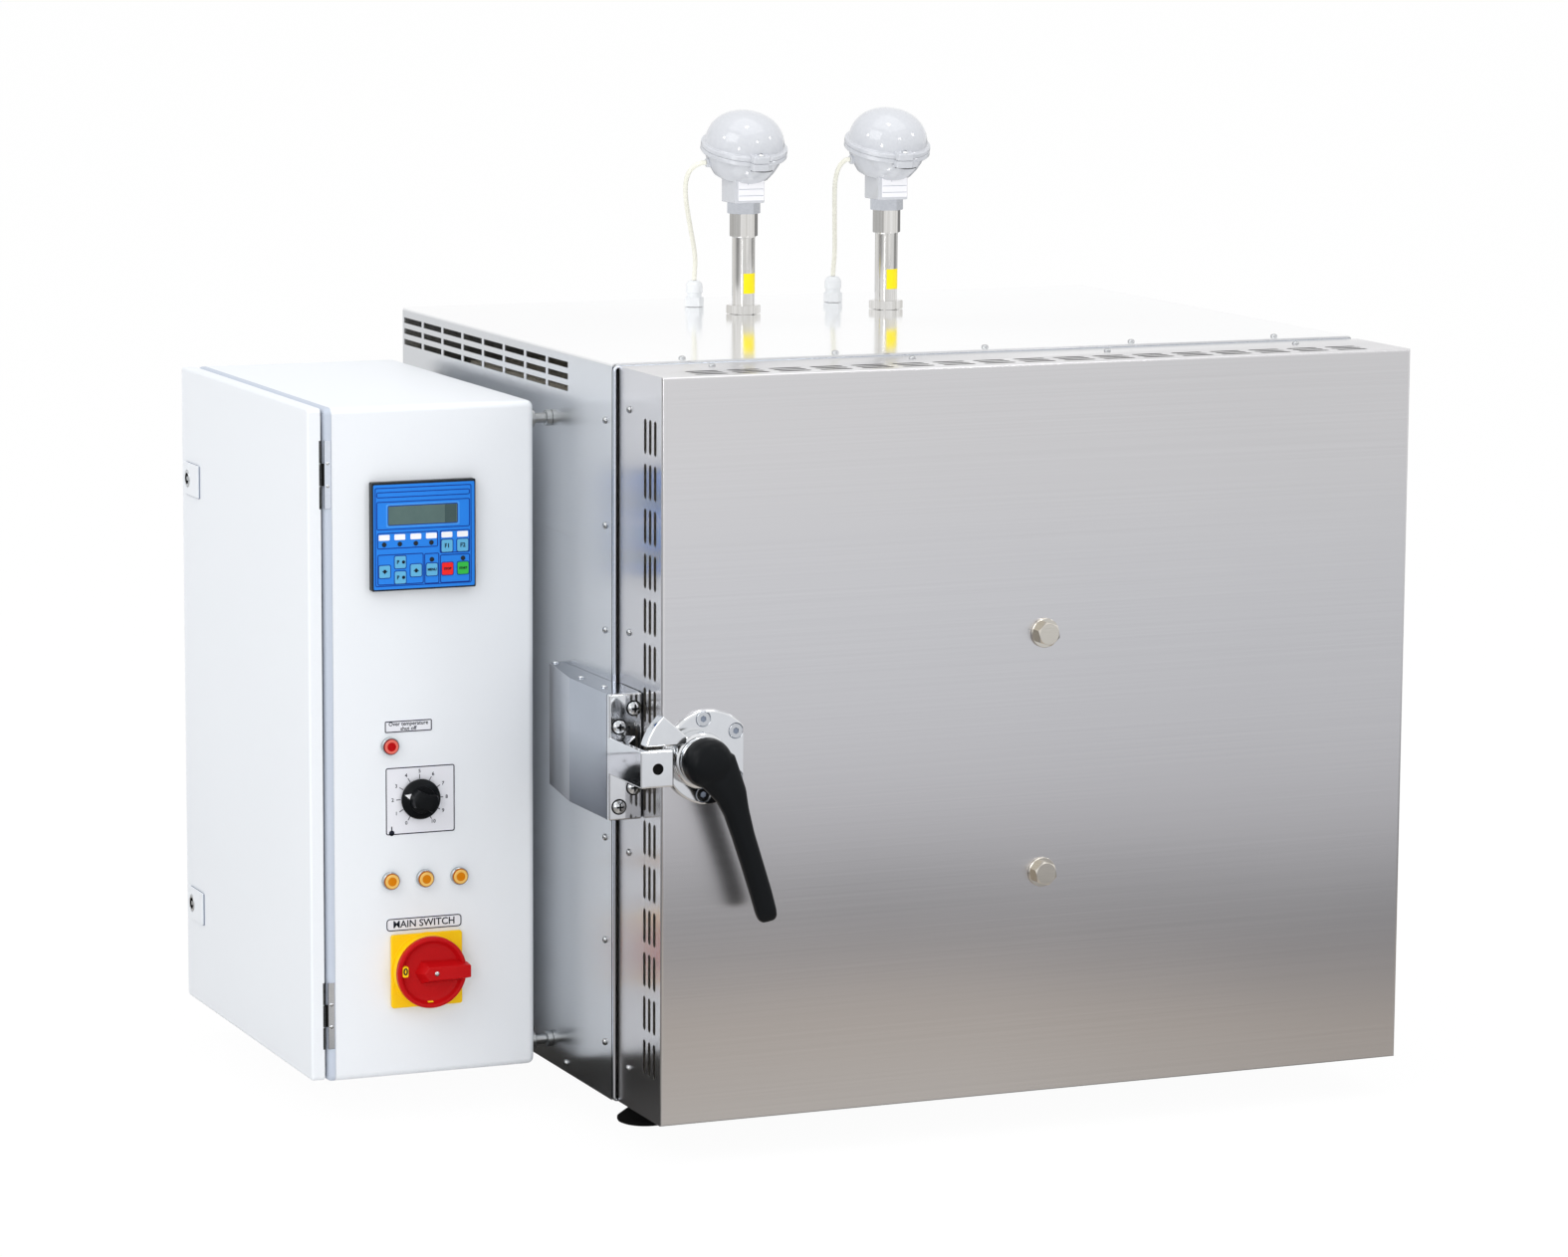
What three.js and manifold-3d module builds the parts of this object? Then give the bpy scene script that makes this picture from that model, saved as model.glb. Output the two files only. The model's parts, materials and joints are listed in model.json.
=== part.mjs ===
// High-temperature oven with a control cabinet on its left side.
// Millimetres, +Z up. The front of the casing is Y = 0 and the door is on the -Y side.
import * as THREE from 'three';
import * as BufferGeometryUtils from 'three/addons/utils/BufferGeometryUtils.js';
import Module from 'manifold-3d';

const wasm = await Module();
wasm.setup();

// Shared values.
const seat = 0.3; // gap between two pieces that touch
const overrun = 6; // how far a cutter passes the wall it cuts
const fineSegments = 16;
const coarseSegments = 8;
const cornerSteps = 2;
const hexSides = 6;

// Oven casing
const bodyWidth = 722;
const bodyHeight = 650;
const bodyBase = 35;
const casingSheet = 2;
const casingBend = 7;
const ventSlotHeight = 4.5;
const ventBridge = 6;
const ventRowPitch = 10.3;
const ventColumns = 8;
const ventRows = 3;
const ventTopDrop = 12;
const ventFrontSetback = 108;
const ventRearInset = 5;
const rearVentColumns = 6;

// Front frame with its outer lip
const frameSheet = 1.5;
const lipHeight = 3.2;
const lipWidth = 2;

// Heated chamber, placed by the thickness of the walls round it
const chamberDepth = 405;
const chamberBeside = 136;
const chamberUnder = 110;
const chamberOver = 140;
const linerSheet = 1.5;
const airBeside = 39;
const airOver = 43;
const insulationRear = 72;

// Air circulation
const shaftRadius = 7;
const shaftHole = 10;
const impellerRadius = 95;
const impellerDepth = 26;
const impellerSheet = 2;
const impellerRear = 14;
const hubRadius = 18;
const bladeCount = 10;
const bladeSheet = 2;
const motorRadius = 62;
const motorLength = 66;
const motorBellLength = 14;
const motorBellRadius = 40;
const motorAir = 12;
const baffleSheet = 1.5;
const baffleSetback = 60;
const intakeSlotHeight = 7;
const intakeSlotPitch = 16;
const intakeSlotCount = 9;
const intakeWidth = 150;
const outletSlotWidth = 8;
const outletHeightShare = 0.76;
const outletCount = 6;
const outletInset = 18;
const outletEndInset = 55;
const heaterRingRadius = 130;
const heaterTubeRadius = 4;
const heaterRoom = 0.9;
const heaterLegSpacing = 34;
const heaterSetback = 28;
const heaterLegIn = 45;
const heaterPoints = 14;
const heaterSteps = 30;

// Shelf and its ladders
const runnerCount = 5;
const runnerLowest = 66;
const runnerOver = 86;
const runnerDepth = 11;
const runnerSheet = 1.6;
const railWidth = 14;
const railSheet = 1.6;
const railInset = 12;
const shelfLevel = 2;
const shelfRod = 4;
const shelfRods = 13;
const shelfEdge = 6;
const shelfSide = 3;

// Feet
const footRadius = 25;
const footTopRadius = 12;
const footPad = 4;
const footCone = 11;
const footStud = 6;
const footInset = 52;

// Door
const doorLeftInset = 4;
const doorRightOut = 2;
const doorTopDrop = 2;
const doorThickness = 100;
const doorGap = 7;
const doorSheet = 2;
const doorBend = 4;
const doorSlotShare = 0.777;
const doorSlotWidth = 6;
const doorSlotPitch = 11.5;
const doorSlotsInGroup = 3;
const doorSideGroups = 15;
const doorTopGroups = 17;
const doorSideInset = 53.8;
const doorTopInset = 51.2;
const doorSlotFromFront = 16;
const plugSideGap = 10;
const plugDepth = 30;
const doorLinerSheet = 1.5;
const doorInsulationAir = 30;
const doorInsulationInset = 50;
const gasketWidth = 14;
const gasketOut = 6;

// Door bolts
const boltUpperRise = 87;
const boltLowerDrop = 126;
const boltRadius = 5.7;
const boltHexRadius = 11;
const boltHexHeight = 8;
const boltWasherRadius = 13;
const boltWasherSheet = 2.5;

// Door hinges
const hingeOut = 20;
const hingeKnuckleRadius = 11;
const hingePinRadius = 6;
const hingeEndInset = 125;
const hingeHalfHeight = 36;
const hingePlate = 6;
const hingeLeafLength = 60;
const strapLeafLength = 46;
const hingeLeafSetback = 14;
const hingePinGap = 0.3;

// Latch: plate, cam and lever
const latchDrop = 2.5;
const latchAxisInset = 34;
const latchPlateShift = 12;
const latchPlateRadius = 41;
const latchPlateCut = 31;
const latchPlateSheet = 5;
const latchPlateChamfer = 2;
const spindleRadius = 8;
const camRadius = 54;
const camSheet = 14;
const camCollarRadius = 24.5;
const camLowerEdge = 14.5;
const camTipAngle = 131;
const camRunGap = 0.5;
const camRestGap = 1;
const leverNeckRadius = 17;
const leverNeckLength = 4;
const leverBossRadius = 21.5;
const leverBossLength = 22;
const leverWidth = 18;
const leverThickness = 15;
const leverReach = 54;
const leverDrop = 141;
const leverBore = 10;
const leverMiddleShare = 0.55;

// Strike on the casing: cover, bracket, keeper arm and nose
const strikeOut = 27;
const strikeHeight = 110;
const strikeDrop = 4;
const strikeForward = 57;
const strikeBevelStart = 33;
const strikeRear = 121;
const strikeRearOut = 13;
const strikeCoverSheet = 1.5;
const strikeDoorGap = 1;
const strikePlate = 8;
const strikeFace = 6.5;
const strikeTuck = 36;
const strikeEdge = 4;
const keeperHeight = 32;
const keeperArm = 6;
const keeperNose = 11;
const keeperReach = 32;
const keeperHole = 5;
const keeperHoleInset = 15.5;

// Control cabinet
const cabinetWidth = 380;
const cabinetBodyDepth = 188;
const cabinetLift = 5;
const cabinetDrop = 45;
const cabinetRearInset = 41;
const cabinetSpace = 22;
const cabinetSheet = 1.5;
const cabinetBend = 6;
const cabinetFlange = 12;
const cabinetCollar = 17;
const cabinetDoorGap = 10;
const cabinetDoorDepth = 12;
const cabinetDoorTrim = 2;
const cabinetDoorCorner = 4;
const cabinetPivotOut = 0.7;
const cabinetPivotBack = 2;
const cabinetHingeDrop = 58;
const cabinetHingeRise = 60;
const cabinetHingeLength = 60;
const cabinetKnuckle = 3;
const cabinetHingePin = 1.5;
const cabinetKnuckleRoom = 0.8;
const standoffInset = 18;
const standoffRadius = 3;
const standoffCollar = 7;
const standoffCollarLength = 5;
const lockInset = 24;
const lockUpperShare = 0.83;
const lockLowerShare = 0.1583;
const lockPlateWidth = 46;
const lockPlateHeight = 34;
const lockPlateSheet = 1.6;
const lockPlateShift = 12;
const lockInsertRadius = 8;
const lockShaftRadius = 5;
const lockProud = 1.2;
const lockTongueReach = 18;
const lockTongueWidth = 10;
const lockTongueSheet = 3;
const mountingInset = 24;
const mountingMargin = 34;
const mountingSheet = 2;
const mountingSpacer = 6;
const contactorWidth = 45;
const contactorHeight = 74;
const contactorDepth = 58;
const contactorPitch = 58;
const contactorCount = 4;
const contactorRiseShare = 0.4333;
const railSection = 8;
const railHeight = 35;

// Instruments on the cabinet's front: insets from its right side, shares of its height
const controllerSize = 96;
const controllerInset = 106;
const controllerRiseShare = 0.81;
const controllerProud = 8;
const controllerCorner = 2;
const controllerBody = 91;
const controllerCase = 70;
const controllerRecess = 1.2;
const controllerRim = 5;
const lampRadius = 8;
const lampBezel = 9;
const lampProud = 5;
const lampThread = 6;
const lampLength = 30;
const lampPitch = 32;
const lampRowInset = 104.4;
const lampRiseShare = 0.2967;
const alarmRiseShare = 0.4983;
const knobRadius = 17;
const knobSkirtRadius = 18.5;
const knobSkirt = 4;
const knobLength = 18;
const knobInset = 108.5;
const knobRiseShare = 0.4167;
const knobShaft = 3;
const knobShaftIn = 12;
const knobGap = 2;
const switchPlateSize = 66;
const switchPlateSheet = 4;
const switchPlateCorner = 4;
const switchInset = 103.5;
const switchRiseShare = 0.1597;
const switchStep = 8;
const switchDiscRadius = 32.2;
const switchDisc = 7;
const switchRim = 4.5;
const switchDish = 5;
const switchGrip = 5.4;
const switchGripWidth = 13;
const switchGripOver = 2;
const switchGripRearShare = 0.45;
const switchGripShoulderShare = 0.25;
const switchShaft = 4;
const glandRadius = 9;
const glandNut = 12;
const glandLength = 16;

// Temperature sensors on the roof
const sensorRearInset = 19;
const sensorLeftShift = -79.2;
const sensorRightShift = 68.3;
const stemRadius = 11;
const stemNutRadius = 18;
const stemNutHeight = 8;
const stemTop = 73;
const stemBodyRadius = 15.5;
const stemBodyTop = 95;
const stemBodyChamfer = 3;
const stemLockRadius = 17.5;
const stemLockTop = 105;
const stemBelow = 12;
const probeRadius = 3;
const probeReach = 40;
const neckWidth = 30;
const neckDepth = 33;
const neckTop = 130;
const headHeight = 156;
const headTilt = 16;
const headRimRadius = 41;
const headRim = 4.5;
const headBowlRadius = 37;
const headBowlDepth = 27;
const headBowlFoot = 24;
const headHollowRadius = 31;
const headHollowDepth = 16;
const terminalRadius = 20;
const terminalHeight = 8;
const lidRise = 31;
const lidWall = 3;
const earWidth = 15;
const earReach = 5;
const earDepth = 7;
const lidHingeOut = 5;
const lidKnuckle = 4;
const lidKnuckleLength = 9;
const lidPin = 1.6;
const lidPinShare = 1.4;
const bossRadius = 6;
const bossReach = 8;
const leadRadius = 2.2;
const leadSteps = 16;
const leadSides = 8;
const leadGlandSetback = 80;
const leadGlandLeftShift = -17.8;
const leadGlandRightShift = -20.5;
const leadGlandHexRadius = 9;
const leadGlandHex = 9;
const leadGlandNeck = 7;
const leadGlandNeckTop = 13;
const leadGlandCap = 8;
const leadGlandTop = 25;

// Places worked out.
const bodyDepth = chamberDepth + insulationRear + motorLength + motorAir;
const bodyLeft = -bodyWidth / 2;
const bodyRight = bodyWidth / 2;
const bodyTop = bodyBase + bodyHeight;
const ventPitch = (bodyDepth - ventFrontSetback - ventRearInset + ventBridge) / ventColumns;
const ventSlotLength = ventPitch - ventBridge;
const chamberWidth = (bodyRight - chamberBeside) * 2;
const chamberFloor = bodyBase + chamberUnder;
const chamberTop = bodyTop - chamberOver;
const chamberHeight = chamberTop - chamberFloor;
const chamberMiddle = (chamberTop + chamberFloor) / 2;
const insulationHalf = bodyRight - casingSheet - airBeside;
const insulationTop = bodyTop - casingSheet - airOver;
const outletPitch = (chamberHeight - outletEndInset * 2) / (outletCount - 1);
const runnerPitch = (chamberHeight - runnerLowest - runnerOver) / (runnerCount - 1);
const frameFront = -seat - frameSheet;
const doorRear = -doorGap;
const doorFront = doorRear - doorThickness;
const doorLeft = bodyLeft + doorLeftInset;
const doorRight = bodyRight + doorRightOut;
const doorCentre = (doorLeft + doorRight) / 2;
const doorTop = bodyTop - doorTopDrop;
const doorMiddle = (bodyBase + doorTop) / 2;
const boltUpperHeight = doorMiddle + boltUpperRise;
const boltLowerHeight = doorMiddle - boltLowerDrop;
const hingeUpperHeight = bodyTop - hingeEndInset;
const hingeLowerHeight = bodyBase + hingeEndInset;
const latchHeight = doorMiddle - latchDrop;
const strikeCentre = latchHeight - strikeDrop;
const latchX = bodyLeft + latchAxisInset;
const latchPlateFront = doorFront - seat - latchPlateSheet;
const camFront = latchPlateFront - seat - camSheet;
const leverNeckFront = camFront - seat - leverNeckLength;
const leverBossFront = leverNeckFront - leverBossLength;
const noseRear = camFront - camRunGap - seat;
const noseFront = noseRear - keeperNose;
const strikeX = bodyLeft - strikeOut;
const strikeInner = doorLeft - strikeDoorGap;
const strikeFaceRear = -strikeForward - seat;
const strikeFaceFront = strikeFaceRear - strikeFace;
const keeperMiddle = latchHeight + camLowerEdge - camRestGap - keeperHeight / 2;
const hingeX = bodyRight + hingeOut;
const hingeY = doorRear / 2;
const cabinetRight = bodyLeft - cabinetSpace;
const cabinetLeft = cabinetRight - cabinetBodyDepth;
const cabinetRear = bodyDepth - cabinetRearInset;
const cabinetSetback = cabinetRear - cabinetWidth;
const cabinetBase = bodyBase + cabinetLift;
const cabinetTop = bodyTop - cabinetDrop;
const cabinetHeight = cabinetTop - cabinetBase;
const cabinetDoorInner = cabinetLeft - cabinetDoorGap;
const cabinetDoorOuter = cabinetDoorInner - cabinetDoorDepth;
const cabinetPivotX = cabinetDoorInner - cabinetPivotOut;
const cabinetPivotY = cabinetSetback + cabinetPivotBack;
const panelFace = cabinetSetback - seat;
const switchStepFace = panelFace - switchPlateSheet - switchStep;
const partLeft = cabinetDoorOuter - lockPlateSheet - lockProud;
const partRight = hingeX + hingeKnuckleRadius;
const partFront = leverBossFront;

// Materials.
function finish(colour, roughness, metalness) {
  return new THREE.MeshStandardMaterial({ color: colour, roughness, metalness });
}

const stainless = () => finish(0xb9bbbb, 0.32, 0.9);
const polished = () => finish(0xd2d3d4, 0.12, 1);
const darkSteel = () => finish(0x55575a, 0.45, 0.8);
const fibre = () => finish(0xe9e4d6, 0.95, 0);
const palePaint = () => finish(0xdfe2e1, 0.5, 0);
const blackPlastic = () => finish(0x1b1c1e, 0.55, 0);
const rubberBlack = () => finish(0x141414, 0.85, 0);
const zinc = () => finish(0xa9abab, 0.4, 0.85);
const headPaint = () => finish(0xc9cacd, 0.38, 0.1);
const whitePlastic = () => finish(0xf0f0ea, 0.55, 0);
const creamCable = () => finish(0xeeead0, 0.6, 0);
const amberLens = () => finish(0xd98a1e, 0.25, 0);
const redLens = () => finish(0xc8261b, 0.25, 0);
const yellowPlastic = () => finish(0xf3c613, 0.45, 0);
const redPlastic = () => finish(0xc4261d, 0.4, 0);

// Solid helpers.
// A closed three.js geometry becomes a solid once its shared corners are merged.
function solid(geometry) {
  const bare = new THREE.BufferGeometry();
  bare.setAttribute('position', geometry.getAttribute('position'));
  if (geometry.index) {
    bare.setIndex(geometry.index);
  }
  const merged = BufferGeometryUtils.mergeVertices(bare, 1e-4);
  const index = merged.index.array;
  const kept = [];
  for (let i = 0; i < index.length; i += 3) {
    const [a, b, c] = [index[i], index[i + 1], index[i + 2]];
    if (a !== b && b !== c && a !== c) {
      kept.push(a, b, c);
    }
  }
  return new wasm.Manifold(new wasm.Mesh({
    numProp: 3,
    vertProperties: new Float32Array(merged.getAttribute('position').array),
    triVerts: new Uint32Array(kept),
  }));
}

function geometryOf(body) {
  const mesh = body.getMesh();
  const geometry = new THREE.BufferGeometry();
  geometry.setAttribute('position', new THREE.BufferAttribute(new Float32Array(mesh.vertProperties), 3));
  geometry.setIndex(new THREE.BufferAttribute(new Uint32Array(mesh.triVerts), 1));
  geometry.computeVertexNormals();
  return geometry;
}

function join(first, ...others) {
  return others.reduce((sum, other) => sum.add(other), first);
}

function cut(first, ...others) {
  return others.reduce((rest, other) => rest.subtract(other), first);
}

// A box between two corners.
function block(x0, x1, y0, y1, z0, z1) {
  const geometry = new THREE.BoxGeometry(x1 - x0, y1 - y0, z1 - z0);
  geometry.translate((x0 + x1) / 2, (y0 + y1) / 2, (z0 + z1) / 2);
  return solid(geometry);
}

// Many boxes of one size that don't touch each other, as one cutter.
function blocks(centres, width, depth, height) {
  const parts = centres.map(([x, y, z]) => {
    const geometry = new THREE.BoxGeometry(width, depth, height);
    geometry.translate(x, y, z);
    return geometry;
  });
  return solid(BufferGeometryUtils.mergeGeometries(parts));
}

// An outline in two axes, drawn out along the third.
const frames = {
  x: new THREE.Matrix4().set(0, 0, 1, 0, 1, 0, 0, 0, 0, 1, 0, 0, 0, 0, 0, 1),
  y: new THREE.Matrix4().set(1, 0, 0, 0, 0, 0, -1, 0, 0, 1, 0, 0, 0, 0, 0, 1),
  z: new THREE.Matrix4(),
};

function extrude(axis, shape, from, to, segments = cornerSteps) {
  const geometry = new THREE.ExtrudeGeometry(shape, {
    depth: to - from,
    bevelEnabled: false,
    curveSegments: segments,
  });
  geometry.translate(0, 0, axis === 'y' ? -to : from);
  geometry.applyMatrix4(frames[axis]);
  return solid(geometry);
}

function outline(points) {
  return new THREE.Shape(points.map(([a, b]) => new THREE.Vector2(a, b)));
}

// A rectangle with a radius of its own at each corner, from the lower left one on.
function roundedRectangle(a0, a1, b0, b1, radii) {
  const [ll, lr, ur, ul] = radii;
  const shape = new THREE.Shape();
  shape.moveTo(a0 + ll, b0);
  shape.lineTo(a1 - lr, b0);
  if (lr > 0) {
    shape.absarc(a1 - lr, b0 + lr, lr, -Math.PI / 2, 0, false);
  }
  shape.lineTo(a1, b1 - ur);
  if (ur > 0) {
    shape.absarc(a1 - ur, b1 - ur, ur, 0, Math.PI / 2, false);
  }
  shape.lineTo(a0 + ul, b1);
  if (ul > 0) {
    shape.absarc(a0 + ul, b1 - ul, ul, Math.PI / 2, Math.PI, false);
  }
  shape.lineTo(a0, b0 + ll);
  if (ll > 0) {
    shape.absarc(a0 + ll, b0 + ll, ll, Math.PI, Math.PI * 1.5, false);
  }
  return shape;
}

// A profile of [radius, place along the axis] turned about an axis through a point.
const turns = {
  x: new THREE.Matrix4().makeRotationZ(-Math.PI / 2),
  y: new THREE.Matrix4(),
  z: new THREE.Matrix4().makeRotationX(Math.PI / 2),
};

function lathe(axis, profile, at, segments = fineSegments) {
  const points = profile.map(([radius, along]) => new THREE.Vector2(radius, along));
  const geometry = new THREE.LatheGeometry(points, segments);
  geometry.applyMatrix4(turns[axis]);
  geometry.translate(...at);
  const body = solid(geometry);
  return body.volume() < 0 ? solid(flipped(geometry)) : body;
}

function flipped(geometry) {
  const copy = geometry.clone();
  const index = copy.index.array;
  for (let i = 0; i < index.length; i += 3) {
    [index[i], index[i + 1]] = [index[i + 1], index[i]];
  }
  return copy;
}

// A straight round bar between two places along an axis.
function bar(axis, radius, from, to, at, segments = fineSegments) {
  return lathe(axis, [[0, from], [radius, from], [radius, to], [0, to]], at, segments);
}

function piece(name, body, material) {
  const mesh = new THREE.Mesh(geometryOf(body), material);
  mesh.name = name;
  return mesh;
}

// Centres of an even row about a middle.
function row(count, pitch, middle) {
  return Array.from({ length: count }, (_, i) => middle + (i - (count - 1) / 2) * pitch);
}

// Casing.
// Left wall, roof and right wall are one bent sheet with three rows of slots in each wall.
function casingWrap() {
  const outer = roundedRectangle(bodyLeft, bodyRight, bodyBase, bodyTop, [0, 0, casingBend, casingBend]);
  const inside = casingBend - casingSheet;
  const inner = roundedRectangle(bodyLeft + casingSheet, bodyRight - casingSheet,
    bodyBase - overrun, bodyTop - casingSheet, [0, 0, inside, inside]);
  const wrap = cut(extrude('y', outer, 0, bodyDepth), extrude('y', inner, -overrun, bodyDepth + overrun));
  const centres = [];
  for (let column = 0; column < ventColumns; column += 1) {
    for (let line = 0; line < ventRows; line += 1) {
      const y = ventFrontSetback + ventSlotLength / 2 + column * ventPitch;
      centres.push([0, y, bodyTop - ventTopDrop - line * ventRowPitch]);
    }
  }
  const slots = blocks(centres, bodyWidth + overrun, ventSlotLength, ventSlotHeight);
  const holes = sensorPlaces().map(([x, y]) => bar('z', stemRadius, bodyTop - overrun,
    bodyTop + overrun, [x, y, 0]));
  return piece('casing_wrap', cut(wrap, slots, ...holes), stainless());
}

function casingFloor() {
  const side = casingSheet + seat;
  const floor = block(bodyLeft + side, bodyRight - side, seat, bodyDepth - casingSheet - seat,
    bodyBase, bodyBase + casingSheet);
  return piece('casing_floor', floor, zinc());
}

function rearPanel() {
  const side = casingSheet + seat;
  const corner = casingBend - casingSheet;
  const panel = extrude('y', roundedRectangle(bodyLeft + side, bodyRight - side, bodyBase, bodyTop - side,
    [0, 0, corner, corner]), bodyDepth - casingSheet, bodyDepth);
  const centres = [];
  for (const x of row(rearVentColumns, ventPitch, 0)) {
    for (let line = 0; line < ventRows; line += 1) {
      centres.push([x, bodyDepth, bodyTop - ventTopDrop * 2 - line * ventRowPitch]);
    }
  }
  const slots = blocks(centres, ventSlotLength, overrun, ventSlotHeight);
  return piece('rear_panel', cut(panel, slots), stainless());
}

// A flat frame round the chamber's mouth, with a raised lip along the casing's edge.
function frontFrame() {
  const bend = casingBend;
  const plate = roundedRectangle(bodyLeft, bodyRight, bodyBase, bodyTop, [bend, bend, bend, bend]);
  const edge = bend - lipWidth;
  const within = roundedRectangle(bodyLeft + lipWidth, bodyRight - lipWidth,
    bodyBase + lipWidth, bodyTop - lipWidth, [edge, edge, edge, edge]);
  const lip = cut(extrude('y', plate, -seat - lipHeight, -seat),
    extrude('y', within, -seat - lipHeight - overrun, frameFront));
  const room = linerSheet + seat;
  const mouth = block(-chamberWidth / 2 - room, chamberWidth / 2 + room, -overrun, overrun,
    chamberFloor - room, chamberTop + room);
  return piece('front_frame', cut(lip, mouth), polished());
}

// Chamber.
function heaterLegs() {
  const z = chamberMiddle + heaterRingRadius;
  return [[-heaterLegSpacing / 2, z], [heaterLegSpacing / 2, z]];
}

function chamberLiner() {
  const half = chamberWidth / 2;
  const outer = block(-half - linerSheet, half + linerSheet, frameFront, chamberDepth + linerSheet,
    chamberFloor - linerSheet, chamberTop + linerSheet);
  const inner = block(-half, half, frameFront - overrun, chamberDepth, chamberFloor, chamberTop);
  const shaft = bar('y', shaftHole, chamberDepth - overrun, chamberDepth + overrun,
    [0, 0, chamberMiddle], coarseSegments);
  const legs = heaterLegs().map(([x, z]) => bar('y', heaterTubeRadius + heaterRoom,
    chamberDepth - overrun, chamberDepth + overrun, [x, 0, z], coarseSegments));
  const probes = sensorPlaces().map(([x, y]) => bar('z', probeRadius + seat, chamberTop - overrun,
    chamberTop + overrun, [x, y, 0], coarseSegments));
  return piece('chamber_liner', cut(outer, inner, shaft, ...legs, ...probes), stainless());
}

function insulation() {
  const half = chamberWidth / 2;
  const room = linerSheet + seat;
  const rear = chamberDepth + insulationRear;
  const outer = block(-insulationHalf, insulationHalf, 0, rear, bodyBase + casingSheet + seat, insulationTop);
  const inner = block(-half - room, half + room, -overrun, chamberDepth + room,
    chamberFloor - room, chamberTop + room);
  const shaft = bar('y', shaftHole, chamberDepth, rear + overrun, [0, 0, chamberMiddle], coarseSegments);
  const legs = heaterLegs().map(([x, z]) => bar('y', heaterTubeRadius + heaterRoom, chamberDepth,
    chamberDepth + linerSheet + heaterLegIn + seat, [x, 0, z], coarseSegments));
  const probes = sensorPlaces().map(([x, y]) => bar('z', probeRadius + seat, chamberTop,
    insulationTop + overrun, [x, y, 0], coarseSegments));
  return piece('insulation', cut(outer, inner, shaft, ...legs, ...probes), fibre());
}

function fanMotor() {
  const front = chamberDepth + insulationRear + seat;
  const rear = front + motorLength;
  const body = lathe('y', [[0, front], [motorRadius, front], [motorRadius, rear - motorBellLength],
    [motorBellRadius, rear], [0, rear]], [0, 0, chamberMiddle]);
  return piece('fan_motor', body, darkSteel());
}

// Back plate, hub and curved-back blades of the circulating fan, with its shaft.
function fanImpeller() {
  const rear = chamberDepth - impellerRear;
  const front = rear - impellerDepth;
  const at = [0, 0, chamberMiddle];
  let wheel = join(bar('y', impellerRadius, rear - impellerSheet, rear, at),
    bar('y', hubRadius, front, rear, at),
    bar('y', shaftRadius, rear - impellerSheet, chamberDepth + insulationRear, at));
  for (let i = 0; i < bladeCount; i += 1) {
    const blade = new THREE.BoxGeometry(impellerRadius - hubRadius, impellerDepth, bladeSheet);
    blade.translate((impellerRadius + hubRadius) / 2 - bladeSheet, rear - impellerDepth / 2, 0);
    blade.rotateY((i * 2 * Math.PI) / bladeCount);
    blade.translate(...at);
    wheel = join(wheel, solid(blade));
  }
  return piece('fan_impeller', wheel, stainless());
}

function fanBaffle() {
  const half = chamberWidth / 2 - seat;
  const y = chamberDepth - baffleSetback;
  const sheet = block(-half, half, y - baffleSheet, y, chamberFloor + seat, chamberTop - seat);
  const levels = row(intakeSlotCount, intakeSlotPitch, chamberMiddle);
  const intake = blocks(levels.map((z) => [0, y, z]), intakeWidth, overrun, intakeSlotHeight);
  const columns = [outletInset - half, half - outletInset];
  const heights = row(outletCount, outletPitch, chamberMiddle);
  const outlets = blocks(columns.flatMap((x) => heights.map((z) => [x, y, z])),
    outletSlotWidth, overrun, outletPitch * outletHeightShare);
  return piece('fan_baffle', cut(sheet, intake, outlets), stainless());
}

// One bent rod: two straight legs through the rear wall and a ring round the fan.
function heaterElement() {
  const y = chamberDepth - heaterSetback;
  const [left, right] = heaterLegs();
  const start = Math.asin(heaterLegSpacing / 2 / heaterRingRadius);
  const legStations = [chamberDepth + linerSheet + heaterLegIn, chamberDepth + linerSheet + seat,
    chamberDepth - heaterTubeRadius * 2];
  const points = legStations.map((at) => new THREE.Vector3(left[0], at, left[1]));
  for (let i = 0; i <= heaterPoints; i += 1) {
    const angle = start + ((Math.PI * 2 - start * 2) * i) / heaterPoints;
    points.push(new THREE.Vector3(-Math.sin(angle) * heaterRingRadius, y,
      chamberMiddle + Math.cos(angle) * heaterRingRadius));
  }
  points.push(...legStations.reverse().map((at) => new THREE.Vector3(right[0], at, right[1])));
  return piece('heater_element', tube(points, heaterTubeRadius, heaterSteps, hexSides), darkSteel());
}

function tube(points, radius, steps, sides) {
  const path = new THREE.CatmullRomCurve3(points, false, 'centripetal');
  const section = new THREE.Shape();
  for (let i = 0; i < sides; i += 1) {
    const angle = (i * 2 * Math.PI) / sides;
    const [a, b] = [Math.cos(angle) * radius, Math.sin(angle) * radius];
    if (i === 0) {
      section.moveTo(a, b);
    } else {
      section.lineTo(a, b);
    }
  }
  return solid(new THREE.ExtrudeGeometry(section, { steps, extrudePath: path, bevelEnabled: false }));
}

// Upright rails and runners that carry a shelf along one side wall.
function shelfLadder(name, side) {
  const wall = side * (chamberWidth / 2 - seat);
  const face = (depth) => [Math.min(wall, wall - side * depth), Math.max(wall, wall - side * depth)];
  const y0 = doorRear + plugDepth + railInset;
  const y1 = chamberDepth - baffleSetback - baffleSheet - railInset;
  const foot = chamberFloor + seat;
  const head = chamberFloor + runnerLowest + (runnerCount - 1) * runnerPitch + railWidth;
  const rails = [y0, y1 - railWidth].map((y) => block(...face(railSheet), y, y + railWidth, foot, head));
  const runners = Array.from({ length: runnerCount }, (_, i) => {
    const z = chamberFloor + runnerLowest + i * runnerPitch;
    return block(...face(runnerDepth), y0, y1, z - runnerSheet, z);
  });
  return piece(name, join(...rails, ...runners), stainless());
}

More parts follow.
